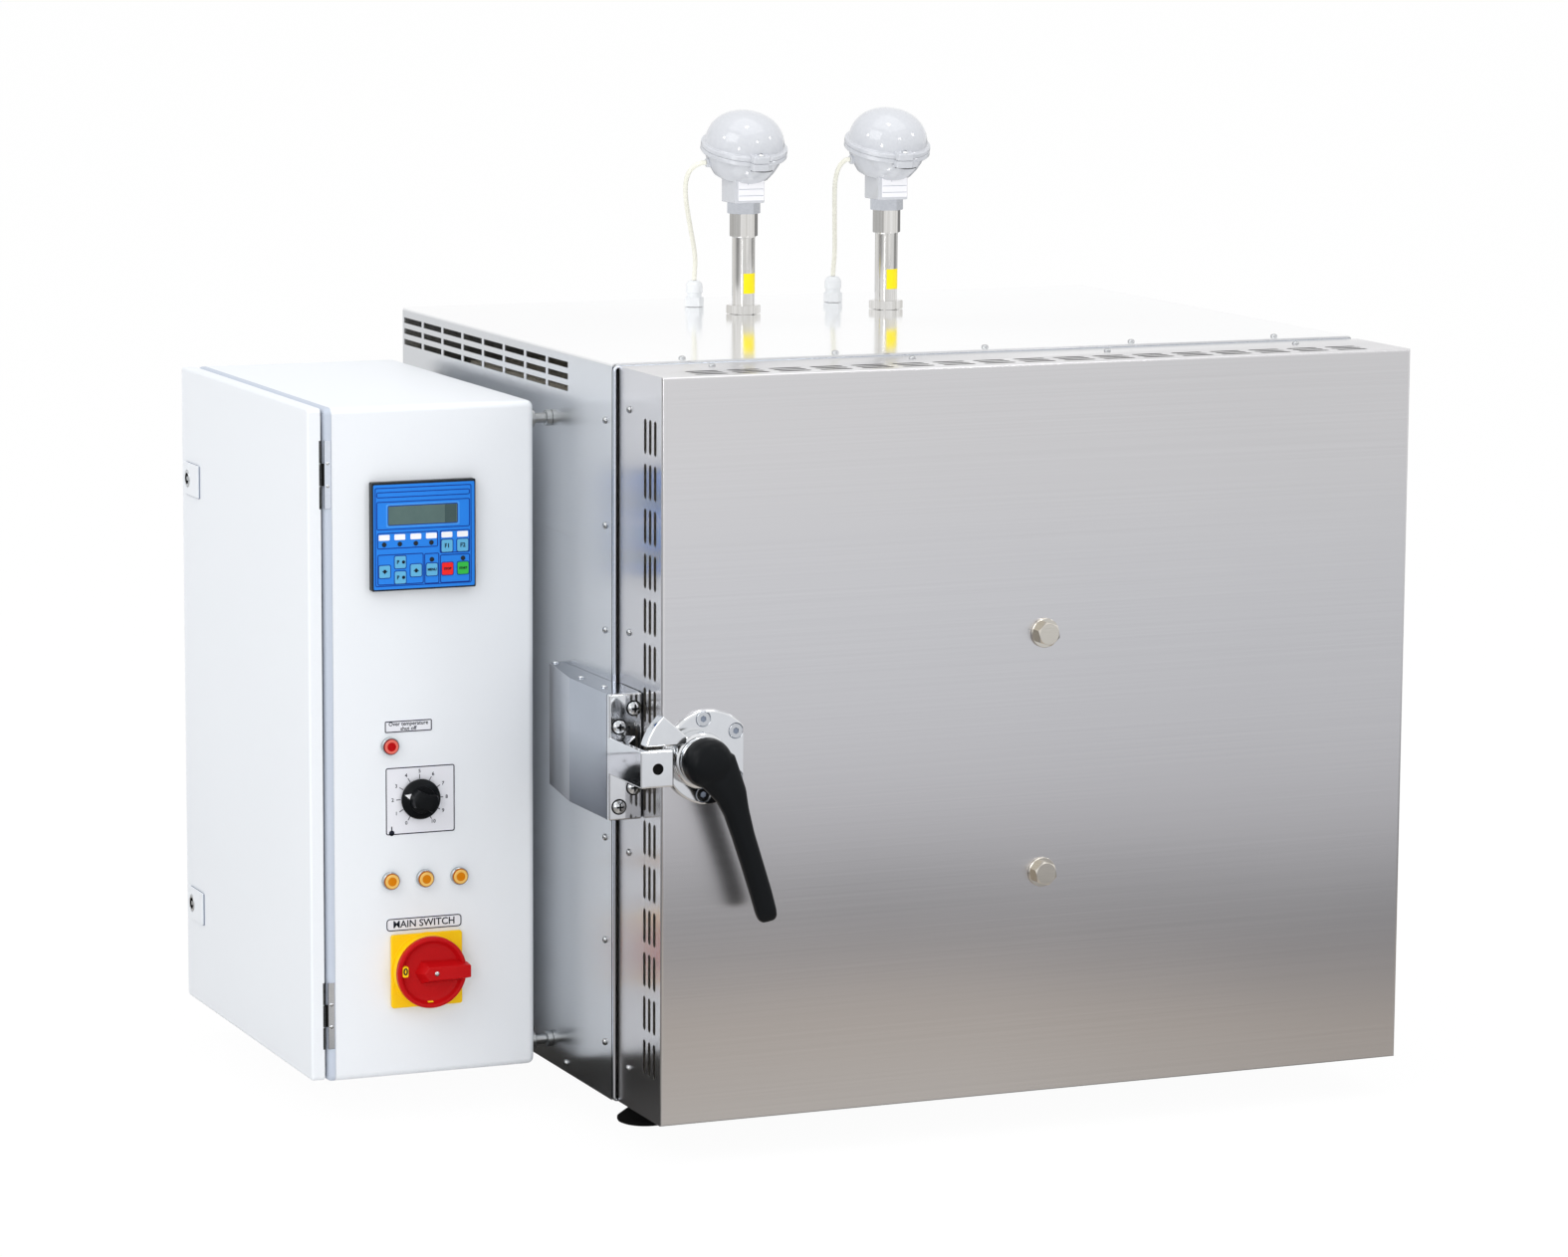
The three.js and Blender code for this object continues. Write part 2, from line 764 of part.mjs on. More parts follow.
function shelf() {
  const z = chamberFloor + runnerLowest + shelfLevel * runnerPitch + seat;
  const x = chamberWidth / 2 - seat - railSheet - shelfSide;
  const y0 = doorRear + plugDepth + railInset;
  const y1 = chamberDepth - baffleSetback - baffleSheet - railInset;
  const rim = cut(block(-x, x, y0, y1, z, z + shelfRod),
    block(shelfEdge - x, x - shelfEdge, y0 + shelfEdge, y1 - shelfEdge, z - overrun, z + overrun));
  const half = shelfRod / 2;
  const rods = row(shelfRods, (x * 2) / (shelfRods + 1), 0).map((at) => block(at - half, at + half,
    y0 + shelfEdge / 2, y1 - shelfEdge / 2, z + half / 2, z + shelfRod - seat));
  return piece('shelf', join(rim, ...rods), stainless());
}

function foot(name, x, y) {
  const top = bodyBase - seat;
  const body = lathe('z', [[0, 0], [footRadius - footPad / 2, 0], [footRadius, footPad / 2],
    [footRadius, footPad], [footTopRadius, footCone + footPad], [footStud, footCone + footPad],
    [footStud, top], [0, top]], [x, y, 0], coarseSegments);
  return piece(name, body, rubberBlack());
}

// Door.
// A deep pan of bent sheet: both bends are rounded, the corners are closed.
function doorPan(inset, bend) {
  const front = doorFront + inset;
  const rear = doorRear + (inset > 0 ? overrun : 0);
  const plan = roundedRectangle(doorLeft + inset, doorRight - inset, front, rear, [bend, bend, 0, 0]);
  const profile = roundedRectangle(front, rear, bodyBase + inset, doorTop - inset, [bend, 0, 0, bend]);
  const upright = extrude('z', plan, bodyBase + inset, doorTop - inset);
  const across = extrude('x', profile, doorLeft + inset, doorRight - inset);
  return upright.intersect(across);
}

function doorSlots() {
  const first = doorFront + doorSlotFromFront;
  const places = Array.from({ length: doorSlotsInGroup }, (_, i) => first + i * doorSlotPitch);
  const sidePitch = (doorTop - bodyBase - doorSideInset * 2) / (doorSideGroups - 1);
  const endPitch = (doorRight - doorLeft - doorTopInset * 2) / (doorTopGroups - 1);
  const sides = row(doorSideGroups, sidePitch, doorMiddle)
    .flatMap((z) => places.map((y) => [doorCentre, y, z]));
  const ends = row(doorTopGroups, endPitch, doorCentre)
    .flatMap((x) => places.map((y) => [x, y, doorMiddle]));
  return [blocks(sides, doorRight - doorLeft + overrun, doorSlotWidth, sidePitch * doorSlotShare),
    blocks(ends, endPitch * doorSlotShare, doorSlotWidth, doorTop - bodyBase + overrun)];
}

function doorCover() {
  const shell = cut(doorPan(0, doorBend), doorPan(doorSheet, doorBend - doorSheet));
  const bolts = [boltUpperHeight, boltLowerHeight].map((z) => bar('y', boltRadius + seat,
    doorFront - overrun, doorFront + overrun, [doorCentre, 0, z], coarseSegments));
  return piece('door_cover', cut(shell, ...doorSlots(), ...bolts), stainless());
}

function plugBox(grow, from, to) {
  const half = chamberWidth / 2 - plugSideGap + grow;
  return block(-half, half, from, to, chamberFloor + plugSideGap - grow, chamberTop - plugSideGap + grow);
}

function doorLiner() {
  const edge = doorSheet + seat;
  const plate = block(doorLeft + edge, doorRight - edge, doorRear - doorLinerSheet, doorRear,
    bodyBase + edge, doorTop - edge);
  const plug = plugBox(0, doorRear - doorLinerSheet, doorRear + plugDepth);
  const hollow = plugBox(-doorLinerSheet, doorRear - doorLinerSheet - overrun,
    doorRear + plugDepth - doorLinerSheet);
  return piece('door_liner', cut(join(plate, plug), hollow), stainless());
}

function doorInsulation() {
  const inset = doorInsulationInset;
  const rear = doorRear - doorLinerSheet - seat;
  const slab = block(doorLeft + inset, doorRight - inset, doorFront + doorInsulationAir, rear,
    bodyBase + inset, doorTop - inset);
  const plug = plugBox(-doorLinerSheet - seat, rear - doorSheet,
    doorRear + plugDepth - doorLinerSheet - seat);
  return piece('door_insulation', join(slab, plug), fibre());
}

function doorGasket() {
  const inner = gasketOut;
  const outer = gasketOut + gasketWidth;
  const ring = (grow) => {
    const half = chamberWidth / 2 + grow;
    return roundedRectangle(-half, half, chamberFloor - grow, chamberTop + grow, [grow, grow, grow, grow]);
  };
  const from = doorRear + seat;
  const to = frameFront - seat;
  const body = cut(extrude('y', ring(outer), from, to),
    extrude('y', ring(inner), from - overrun, to + overrun));
  return piece('door_gasket', body, fibre());
}

function doorBolt(name, z) {
  const face = doorFront - seat;
  const at = [doorCentre, 0, z];
  const end = doorFront + doorInsulationAir - seat;
  const shank = lathe('y', [[0, face - boltWasherSheet], [boltWasherRadius, face - boltWasherSheet],
    [boltWasherRadius, face], [boltRadius, face], [boltRadius, end], [0, end]], at, coarseSegments);
  const head = bar('y', boltHexRadius, face - boltWasherSheet - boltHexHeight,
    face - boltWasherSheet / 2, at, hexSides);
  return piece(name, join(shank, head), polished());
}

// Hinges.
// The casing's leaf carries a knuckle and its pin; the door's leaf lifts off the pin.
function hingeBracket(name, z) {
  const x = bodyRight + seat;
  const leaf = outline([[x, hingeLeafSetback], [x, hingeLeafSetback + hingeLeafLength],
    [x + hingePlate, hingeLeafSetback + hingeLeafLength],
    [x + hingePlate, hingeLeafSetback + hingeLeafLength / 2],
    [hingeX + hingePlate / 2, hingeY + hingePlate], [hingeX - hingePlate, hingeY - hingePlate / 2]]);
  const body = join(extrude('z', leaf, z - hingeHalfHeight, z - seat),
    bar('z', hingeKnuckleRadius, z - hingeHalfHeight, z - seat, [hingeX, hingeY, 0]),
    bar('z', hingePinRadius, z - hingeHalfHeight, z + hingeHalfHeight, [hingeX, hingeY, 0]));
  return piece(name, body, stainless());
}

function hingeStrap(name, z) {
  const x = doorRight + seat;
  const near = doorRear - hingePlate;
  const leaf = outline([[x, near], [hingeX - hingePlate, hingeY + hingePlate / 2],
    [hingeX + hingePlate / 2, hingeY - hingePlate], [x + hingePlate, near - strapLeafLength / 2],
    [x + hingePlate, near - strapLeafLength], [x, near - strapLeafLength]]);
  const body = join(extrude('z', leaf, z, z + hingeHalfHeight - seat),
    bar('z', hingeKnuckleRadius, z, z + hingeHalfHeight - seat, [hingeX, hingeY, 0]));
  const bore = bar('z', hingePinRadius + hingePinGap, z - overrun, z + hingeHalfHeight + overrun,
    [hingeX, hingeY, 0]);
  return piece(name, cut(body, bore), stainless());
}

// Latch.
// A round plate on the door, flat on its right side, that carries the spindle.
function latchPlate() {
  const rear = doorFront - seat;
  const chamfer = latchPlateChamfer;
  const x = latchX + latchPlateShift;
  const disc = lathe('y', [[0, latchPlateFront], [latchPlateRadius - chamfer, latchPlateFront],
    [latchPlateRadius, latchPlateFront + chamfer], [latchPlateRadius, rear], [0, rear]],
  [x, 0, latchHeight], fineSegments * 2);
  const side = block(x + latchPlateCut, x + latchPlateRadius + overrun, latchPlateFront - overrun,
    rear + overrun, latchHeight - latchPlateRadius - overrun, latchHeight + latchPlateRadius + overrun);
  const spindle = bar('y', spindleRadius, leverNeckFront - leverBore, latchPlateFront + chamfer,
    [latchX, 0, latchHeight]);
  return piece('latch_plate', join(cut(disc, side), spindle), polished());
}

// A collar with one thick sector, whose flat lower edge lies just above the keeper's nose.
function latchCam() {
  const tip = THREE.MathUtils.degToRad(camTipAngle);
  const low = Math.PI - Math.asin(camLowerEdge / camRadius);
  const shape = new THREE.Shape();
  shape.moveTo(0, camLowerEdge);
  shape.lineTo(0, camCollarRadius);
  shape.lineTo(Math.cos(tip) * camRadius / 2, camCollarRadius);
  shape.absarc(0, 0, camRadius, tip, low, false);
  const rear = latchPlateFront - seat;
  const sector = extrude('y', shape, camFront, rear);
  const collar = lathe('y', [[0, camFront], [camCollarRadius - latchPlateChamfer, camFront],
    [camCollarRadius, camFront + latchPlateChamfer], [camCollarRadius, rear], [0, rear]], [0, 0, 0]);
  const bore = bar('y', spindleRadius + seat, camFront - overrun, rear + overrun, [0, 0, 0]);
  const body = cut(join(sector, collar), bore).translate([latchX, 0, latchHeight]);
  return piece('latch_cam', body, polished());
}

// Elliptical sections along a path in the lever's plane, closed at both ends.
function loft(sections, sides) {
  const corners = [];
  const faces = [];
  sections.forEach(({ at, along, width, thickness }) => {
    for (let i = 0; i < sides; i += 1) {
      const angle = (i * 2 * Math.PI) / sides;
      const across = (Math.cos(angle) * width) / 2;
      const deep = (Math.sin(angle) * thickness) / 2;
      corners.push(at[0] + along[1] * across, at[1] + deep, at[2] - along[0] * across);
    }
  });
  const ring = (level, i) => level * sides + (i % sides);
  for (let level = 0; level < sections.length - 1; level += 1) {
    for (let i = 0; i < sides; i += 1) {
      faces.push(ring(level, i), ring(level, i + 1), ring(level + 1, i + 1));
      faces.push(ring(level, i), ring(level + 1, i + 1), ring(level + 1, i));
    }
  }
  const last = sections.length - 1;
  for (let i = 1; i < sides - 1; i += 1) {
    faces.push(ring(0, 0), ring(0, i + 1), ring(0, i));
    faces.push(ring(last, 0), ring(last, i), ring(last, i + 1));
  }
  const geometry = new THREE.BufferGeometry();
  geometry.setAttribute('position', new THREE.BufferAttribute(new Float32Array(corners), 3));
  geometry.setIndex(faces);
  const body = solid(geometry);
  return body.volume() < 0 ? solid(flipped(geometry)) : body;
}

// Shares of the lever's reach, drop, width and thickness at stations from boss to tip.
const leverReachShares = [0, 0.2, 0.34, 0.43, 0.56, 0.72, 0.87, 0.97, 1];
const leverDropShares = [0, 0.1, 0.2, 0.3, 0.45, 0.63, 0.81, 0.95, 1];
const leverWidthShares = [1.9, 1.6, 1.25, 1.06, 1, 1, 1, 1, 0.62];
const leverThicknessShares = [0.9, 1, 1.05, 1.02, 1, 0.98, 0.96, 0.94, 0.6];

// Shares of the boss's radius and length from its face to its neck.
const bossRadiusShares = [0.52, 0.65, 0.93, 1, 0.97];
const bossLengthShares = [0, 0.06, 0.45, 0.8, 1];

function latchHandle() {
  const middle = leverNeckFront - leverBossLength * leverMiddleShare;
  const stations = leverReachShares.map((share, i) => [latchX + share * leverReach, middle,
    latchHeight - leverDropShares[i] * leverDrop]);
  const sections = stations.map((at, i) => {
    const before = stations[Math.max(i - 1, 0)];
    const after = stations[Math.min(i + 1, stations.length - 1)];
    const along = new THREE.Vector2(after[0] - before[0], after[2] - before[2]).normalize();
    return { at, along: [along.x, along.y], width: leverWidth * leverWidthShares[i],
      thickness: leverThickness * leverThicknessShares[i] };
  });
  const neckRear = camFront - seat;
  const crown = bossRadiusShares.map((share, i) => [leverBossRadius * share,
    leverBossFront + leverBossLength * bossLengthShares[i]]);
  const boss = lathe('y', [[0, leverBossFront], ...crown, [leverNeckRadius, leverNeckFront],
    [leverNeckRadius, neckRear], [0, neckRear]], [latchX, 0, latchHeight], fineSegments + 4);
  const bore = bar('y', spindleRadius + seat, leverNeckFront - leverBore - seat, neckRear + overrun,
    [latchX, 0, latchHeight]);
  const body = cut(join(boss, loft(sections, coarseSegments)), bore);
  return piece('latch_handle', body, blackPlastic());
}

// A folded cover on the casing's left wall, open towards the wall and the bracket.
function strikeCover() {
  const low = strikeCentre - strikeHeight / 2;
  const high = strikeCentre + strikeHeight / 2;
  const wall = bodyLeft - seat;
  const step = -seat - lipHeight - seat;
  const rearX = bodyLeft - strikeRearOut;
  const outer = outline([[wall, strikeRear], [rearX, strikeRear], [strikeX, strikeBevelStart],
    [strikeX, -strikeForward], [strikeInner, -strikeForward], [strikeInner, step], [wall, step]]);
  const sheet = strikeCoverSheet;
  const inner = outline([[wall + overrun * 2, strikeRear - sheet], [rearX + sheet, strikeRear - sheet],
    [strikeX + sheet, strikeBevelStart], [strikeX + sheet, -strikeForward - overrun],
    [wall + overrun * 2, -strikeForward - overrun]]);
  const body = cut(extrude('z', outer, low, high), extrude('z', inner, low + sheet, high - sheet));
  return piece('strike_cover', body, polished());
}

// Wall plate, front plate, keeper arm and nose are one machined piece.
function strikeBracket() {
  const low = strikeCentre - strikeHeight / 2;
  const high = strikeCentre + strikeHeight / 2;
  const wall = bodyLeft - seat;
  const inset = strikeCoverSheet + strikeEdge;
  const side = block(wall - strikePlate, wall, strikeFaceRear, strikeRear - strikeTuck,
    low + inset, high - inset);
  const face = block(strikeX, strikeInner, strikeFaceFront, strikeFaceRear, low, high);
  const armLow = keeperMiddle - keeperHeight / 2;
  const armHigh = keeperMiddle + keeperHeight / 2;
  const arm = block(strikeX, strikeX + keeperArm, noseFront, strikeFaceRear, armLow, armHigh);
  const nose = block(strikeX, strikeInner, noseFront, noseRear, armLow, armHigh);
  const gusset = extrude('z', outline([[strikeX, strikeFaceRear], [strikeX, strikeFaceFront - keeperReach],
    [strikeX + keeperArm, strikeFaceFront - keeperReach], [strikeInner - keeperArm, strikeFaceFront],
    [strikeInner - keeperArm, strikeFaceRear]]), armLow, armHigh);
  const hole = bar('y', keeperHole, noseFront - overrun, noseRear + overrun,
    [strikeX + keeperHoleInset, 0, keeperMiddle]);
  return piece('strike_bracket', cut(join(side, face, arm, nose, gusset), hole), polished());
}

// Control cabinet.
function cabinetBody(inset, bend) {
  const plan = roundedRectangle(cabinetLeft + inset, cabinetRight - inset, cabinetSetback + inset,
    cabinetRear - inset, [0, bend, bend, 0]);
  const face = roundedRectangle(cabinetLeft + inset, cabinetRight - inset, cabinetBase + inset,
    cabinetTop - inset, [0, bend, bend, 0]);
  const upright = extrude('z', plan, cabinetBase + inset, cabinetTop - inset);
  return upright.intersect(extrude('y', face, cabinetSetback + inset, cabinetRear - inset));
}

// A frame of sheet at the cabinet's open side, by how far it lies inside the outer sides.
function cabinetSide(inset, from, to) {
  return block(from, to, cabinetSetback + inset, cabinetRear - inset,
    cabinetBase + inset, cabinetTop - inset);
}

function cabinetRise(share) {
  return cabinetBase + cabinetHeight * share;
}

function instrumentPlaces() {
  const lamps = row(3, lampPitch, cabinetRight - lampRowInset);
  return {
    controller: [cabinetRight - controllerInset, cabinetRise(controllerRiseShare)],
    alarm: [lamps[0], cabinetRise(alarmRiseShare)],
    lamps: lamps.map((x) => [x, cabinetRise(lampRiseShare)]),
    knob: [cabinetRight - knobInset, cabinetRise(knobRiseShare)],
    plate: [cabinetRight - switchInset, cabinetRise(switchRiseShare)],
  };
}

function cabinetShell() {
  const places = instrumentPlaces();
  const shell = cut(cabinetBody(0, cabinetBend), cabinetBody(cabinetSheet, cabinetBend - cabinetSheet));
  const mouth = cabinetSide(cabinetFlange, cabinetLeft - overrun, cabinetLeft + overrun);
  const edge = cabinetLeft - cabinetCollar;
  const collar = cut(cabinetSide(cabinetFlange - cabinetSheet, edge, cabinetLeft + cabinetSheet),
    cabinetSide(cabinetFlange, edge - overrun, cabinetLeft + overrun));
  const half = controllerBody / 2 + seat;
  const [cx, cz] = places.controller;
  const window = block(cx - half, cx + half, cabinetSetback - overrun, cabinetSetback + overrun,
    cz - half, cz + half);
  const drill = (radius) => ([x, z]) => bar('y', radius + seat, cabinetSetback - overrun,
    cabinetSetback + overrun, [x, 0, z]);
  const holes = [...places.lamps.map(drill(lampThread)), drill(lampThread)(places.alarm),
    drill(knobShaft)(places.knob), drill(switchShaft)(places.plate)];
  const gland = bar('z', glandRadius + seat, cabinetBase - overrun, cabinetBase + overrun,
    [...mainsPlace(), 0]);
  const open = cut(join(cut(shell, mouth), collar), window, ...holes, gland);
  return piece('cabinet_shell', join(open, ...cabinetHingeHeights().map(cabinetHingeLeaf)), palePaint());
}

function cabinetHingeHeights() {
  return [cabinetTop - cabinetHingeDrop, cabinetBase + cabinetHingeRise];
}

// The middle third of each hinge belongs to the cabinet: a leaf with a bored knuckle.
function cabinetHingeLeaf(z) {
  const half = cabinetHingeLength / 6 - seat / 2;
  const at = [cabinetPivotX, cabinetPivotY, 0];
  const leaf = block(cabinetPivotX - cabinetKnuckle / 2, cabinetPivotX + cabinetKnuckle / 2,
    cabinetPivotY, cabinetSetback + cabinetFlange - cabinetSheet / 2, z - half, z + half);
  const bore = bar('z', cabinetHingePin + seat, z - half - overrun, z + half + overrun, at, coarseSegments);
  return cut(join(bar('z', cabinetKnuckle, z - half, z + half, at, coarseSegments), leaf), bore);
}

// The outer thirds, with the pin between them, belong to the cabinet's door.
function cabinetHingeBarrel(z) {
  const half = cabinetHingeLength / 2;
  const third = cabinetHingeLength / 6 + seat / 2;
  const at = [cabinetPivotX, cabinetPivotY, 0];
  return join(bar('z', cabinetKnuckle, z - half, z - third, at, coarseSegments),
    bar('z', cabinetKnuckle, z + third, z + half, at, coarseSegments),
    bar('z', cabinetHingePin, z - half, z + half, at, coarseSegments));
}

function mainsPlace() {
  return [(cabinetLeft + cabinetRight) / 2, cabinetRear - cabinetWidth / 4];
}

// A shallow pan that closes the cabinet's left side, with two small lock plates.
function cabinetDoor() {
  const corner = cabinetDoorCorner;
  const low = cabinetBase + cabinetDoorTrim;
  const pan = (inset, from, to) => extrude('x', roundedRectangle(cabinetSetback + inset,
    cabinetRear - inset, low + inset, cabinetTop - inset, [corner, corner, corner, corner]), from, to);
  const shell = cut(pan(0, cabinetDoorOuter, cabinetDoorInner),
    pan(cabinetSheet, cabinetDoorOuter + cabinetSheet, cabinetDoorInner + overrun));
  const y = lockY() - lockPlateShift;
  const plates = lockHeights().map((z) => block(cabinetDoorOuter - lockPlateSheet,
    cabinetDoorOuter + cabinetSheet / 2, y - lockPlateWidth / 2, y + lockPlateWidth / 2,
    z - lockPlateHeight / 2, z + lockPlateHeight / 2));
  const holes = lockHeights().map((z) => bar('x', lockInsertRadius + seat, cabinetDoorOuter - overrun,
    cabinetDoorOuter + overrun, [0, lockY(), z]));
  const third = cabinetHingeLength / 6 + seat / 2;
  const notches = cabinetHingeHeights().map((z) => bar('z', cabinetKnuckle + cabinetKnuckleRoom, z - third,
    z + third, [cabinetPivotX, cabinetPivotY, 0], coarseSegments));
  const barrels = cabinetHingeHeights().map(cabinetHingeBarrel);
  const body = join(cut(join(shell, ...plates), ...holes, ...notches), ...barrels);
  return piece('cabinet_door', body, palePaint());
}

function lockY() {
  return cabinetRear - lockInset;
}

function lockHeights() {
  return [cabinetRise(lockUpperShare), cabinetRise(lockLowerShare)];
}

// A quarter-turn insert whose tongue hangs down when it is open.
function cabinetLock(name, z) {
  const y = lockY();
  const outer = cabinetDoorOuter - lockPlateSheet - lockProud;
  const tongueFrom = cabinetLeft + cabinetSheet + seat;
  const tongueTo = tongueFrom + lockTongueSheet;
  const body = join(bar('x', lockInsertRadius, outer, cabinetDoorOuter + cabinetSheet * 2, [0, y, z]),
    bar('x', lockShaftRadius, outer + lockProud, tongueTo, [0, y, z]),
    block(tongueFrom, tongueTo, y - lockTongueWidth / 2, y + lockTongueWidth / 2,
      z - lockTongueReach, z));
  return piece(name, body, darkSteel());
}

// The mounting plate on its spacers, with a rail and a row of contactors.
function mountingPlate() {
  const wall = cabinetRight - cabinetSheet - seat;
  const face = wall - mountingInset;
  const [y0, y1] = [cabinetSetback + mountingMargin, cabinetRear - mountingMargin];
  const [z0, z1] = [cabinetBase + mountingMargin, cabinetTop - mountingMargin];
  const plate = block(face - mountingSheet, face, y0, y1, z0, z1);
  const inward = mountingSpacer * 2;
  const spacers = [y0 + inward, y1 - inward].flatMap((y) => [z0 + inward, z1 - inward]
    .map((z) => bar('x', mountingSpacer, face - mountingSheet, wall, [0, y, z], coarseSegments)));
  const middle = (y0 + y1) / 2 + mountingMargin;
  const half = (contactorCount * contactorPitch) / 2;
  const level = cabinetRise(contactorRiseShare);
  const rail = block(face - mountingSheet - railSection, face, middle - half, middle + half,
    level - railHeight / 2, level + railHeight / 2);
  const gear = row(contactorCount, contactorPitch, middle)
    .map((y) => block(face - mountingSheet - contactorDepth, face - mountingSheet / 2,
      y - contactorWidth / 2, y + contactorWidth / 2,
      level - contactorHeight / 2, level + contactorHeight / 2));
  return piece('mounting_plate', join(plate, ...spacers, rail, ...gear), zinc());
}

function standoff(name, y, z) {
  const from = cabinetRight + seat;
  const to = bodyLeft - seat;
  const body = lathe('x', [[0, from], [standoffCollar, from], [standoffCollar, from + standoffCollarLength],
    [standoffRadius, from + standoffCollarLength], [standoffRadius, to], [0, to]], [0, y, z], coarseSegments);
  return piece(name, body, zinc());
}

function controller() {
  const [x, z] = instrumentPlaces().controller;
  const half = controllerSize / 2;
  const rim = half - controllerRim;
  const corner = controllerCorner;
  const front = panelFace - controllerProud;
  const bezel = extrude('y', roundedRectangle(x - half, x + half, z - half, z + half,
    [corner, corner, corner, corner]), front, panelFace);
  const recess = block(x - rim, x + rim, front - overrun, front + controllerRecess, z - rim, z + rim);
  const inside = controllerBody / 2;
  const body = block(x - inside, x + inside, panelFace - controllerProud / 2, panelFace + controllerCase,
    z - inside, z + inside);
  return piece('controller', join(cut(bezel, recess), body), blackPlastic());
}

// Shares of the lamp's radius and of how far it stands out, from its crown to its bezel.
const lampRadiusShares = [0.72, 1, 1];
const lampProudShares = [1, 0.55, 0.3];
const bezelShare = 0.25;

function lamp(name, [x, z], lens) {
  const dome = lampRadiusShares.map((share, i) => [lampRadius * share,
    panelFace - lampProud * lampProudShares[i]]);
  const body = lathe('y', [[0, panelFace - lampProud], ...dome,
    [lampBezel, panelFace - lampProud * bezelShare], [lampBezel, panelFace],
    [lampThread, panelFace], [lampThread, panelFace + lampLength],
    [0, panelFace + lampLength]], [x, 0, z], coarseSegments);
  return piece(name, body, lens);
}

function temperatureKnob() {
  const [x, z] = instrumentPlaces().knob;
  const rear = panelFace - knobGap;
  const front = rear - knobLength;
  const body = lathe('y', [[0, front], [knobRadius - knobSkirt / 2, front],
    [knobRadius, front + knobSkirt / 2],
    [knobRadius, rear - knobSkirt], [knobSkirtRadius, rear - knobSkirt / 2], [knobSkirtRadius, rear],
    [knobShaft, rear], [knobShaft, panelFace + knobShaftIn], [0, panelFace + knobShaftIn]], [x, 0, z]);
  return piece('temperature_knob', body, blackPlastic());
}

// A square plate with a round step that the handle's disc turns on.
function switchPlate() {
  const [x, z] = instrumentPlaces().plate;
  const half = switchPlateSize / 2;
  const corner = switchPlateCorner;
  const plate = extrude('y', roundedRectangle(x - half, x + half, z - half, z + half,
    [corner, corner, corner, corner]), panelFace - switchPlateSheet, panelFace);
  const step = bar('y', switchDiscRadius, switchStepFace, panelFace - switchPlateSheet / 2, [x, 0, z]);
  const hole = bar('y', switchShaft + seat, switchStepFace - overrun, panelFace + overrun, [x, 0, z]);
  return piece('switch_plate', cut(join(plate, step), hole), yellowPlastic());
}

// A dished disc with one grip, pointed at one end and running past the rim at the other.
function switchHandle() {
  const [x, z] = instrumentPlaces().plate;
  const rear = switchStepFace - seat;
  const rim = rear - switchDisc;
  const floor = rim + switchDish;
  const lip = switchDiscRadius - switchRim;
  const disc = lathe('y', [[0, floor], [lip, floor], [lip, rim], [switchDiscRadius, rim],
    [switchDiscRadius, rear], [0, rear]], [x, 0, z]);
  const half = switchGripWidth / 2;
  const shoulder = x - switchDiscRadius * switchGripShoulderShare;
  const end = x + switchDiscRadius + switchGripOver;
  const grip = extrude('y', outline([[x - switchDiscRadius * switchGripRearShare, z], [shoulder, z - half],
    [end, z - half], [end, z + half], [shoulder, z + half]]), rim - switchGrip, floor + (rear - floor) / 2);
  const shaft = bar('y', switchShaft, floor, panelFace + knobShaftIn, [x, 0, z]);
  return piece('switch_handle', join(disc, grip, shaft), redPlastic());
}

// Shares of the gland's radius and length, from its mouth to its nut.
const glandRadiusShares = [0.7, 1];
const glandLengthShares = [1, 0.7];
const glandNutShare = 0.6;

function mainsGland() {
  const top = cabinetBase - seat;
  const cap = glandRadiusShares.map((share, i) => [glandRadius * share,
    top - glandLength * glandLengthShares[i]]);
  const body = lathe('z', [[0, top - glandLength], ...cap, [glandNut, top - glandLength * glandNutShare],
    [glandNut, top], [glandRadius, top], [glandRadius, top + glandNut], [0, top + glandNut]],
  [...mainsPlace(), 0]);
  return piece('mains_gland', body, blackPlastic());
}

// Sensors.
function sensorPlaces() {
  const y = chamberDepth - sensorRearInset;
  return [[sensorLeftShift, y], [sensorRightShift, y]];
}

function sensorStem(name, [x, y]) {
  const z = bodyTop + seat;
  const at = [x, y, z];
  const nut = bar('z', stemNutRadius, 0, stemNutHeight, at, hexSides);
  const pipe = bar('z', stemRadius - seat, -stemBelow, stemTop, at);
  const probe = bar('z', probeRadius, chamberTop - probeReach - z, 0, at, coarseSegments);
  const body = lathe('z', [[0, stemTop - stemBodyChamfer], [stemRadius, stemTop - stemBodyChamfer],
    [stemBodyRadius, stemTop], [stemBodyRadius, stemBodyTop], [0, stemBodyTop]], at, hexSides);
  const lock = bar('z', stemLockRadius, stemBodyTop - seat, stemLockTop, at, hexSides);
  return piece(name, join(nut, pipe, body, lock, probe), stainless());
}

// Places in the head are worked out upright, then tilted forwards about the head's centre.
function tilted(body, [x, y]) {
  return body.rotate([headTilt, 0, 0]).translate([x, y, bodyTop + headHeight]);
}

function lidKnuckleAt() {
  return headRimRadius + lidHingeOut;
}

const bowlWaistShare = 0.86;
const bowlWaistDepthShare = 0.62;

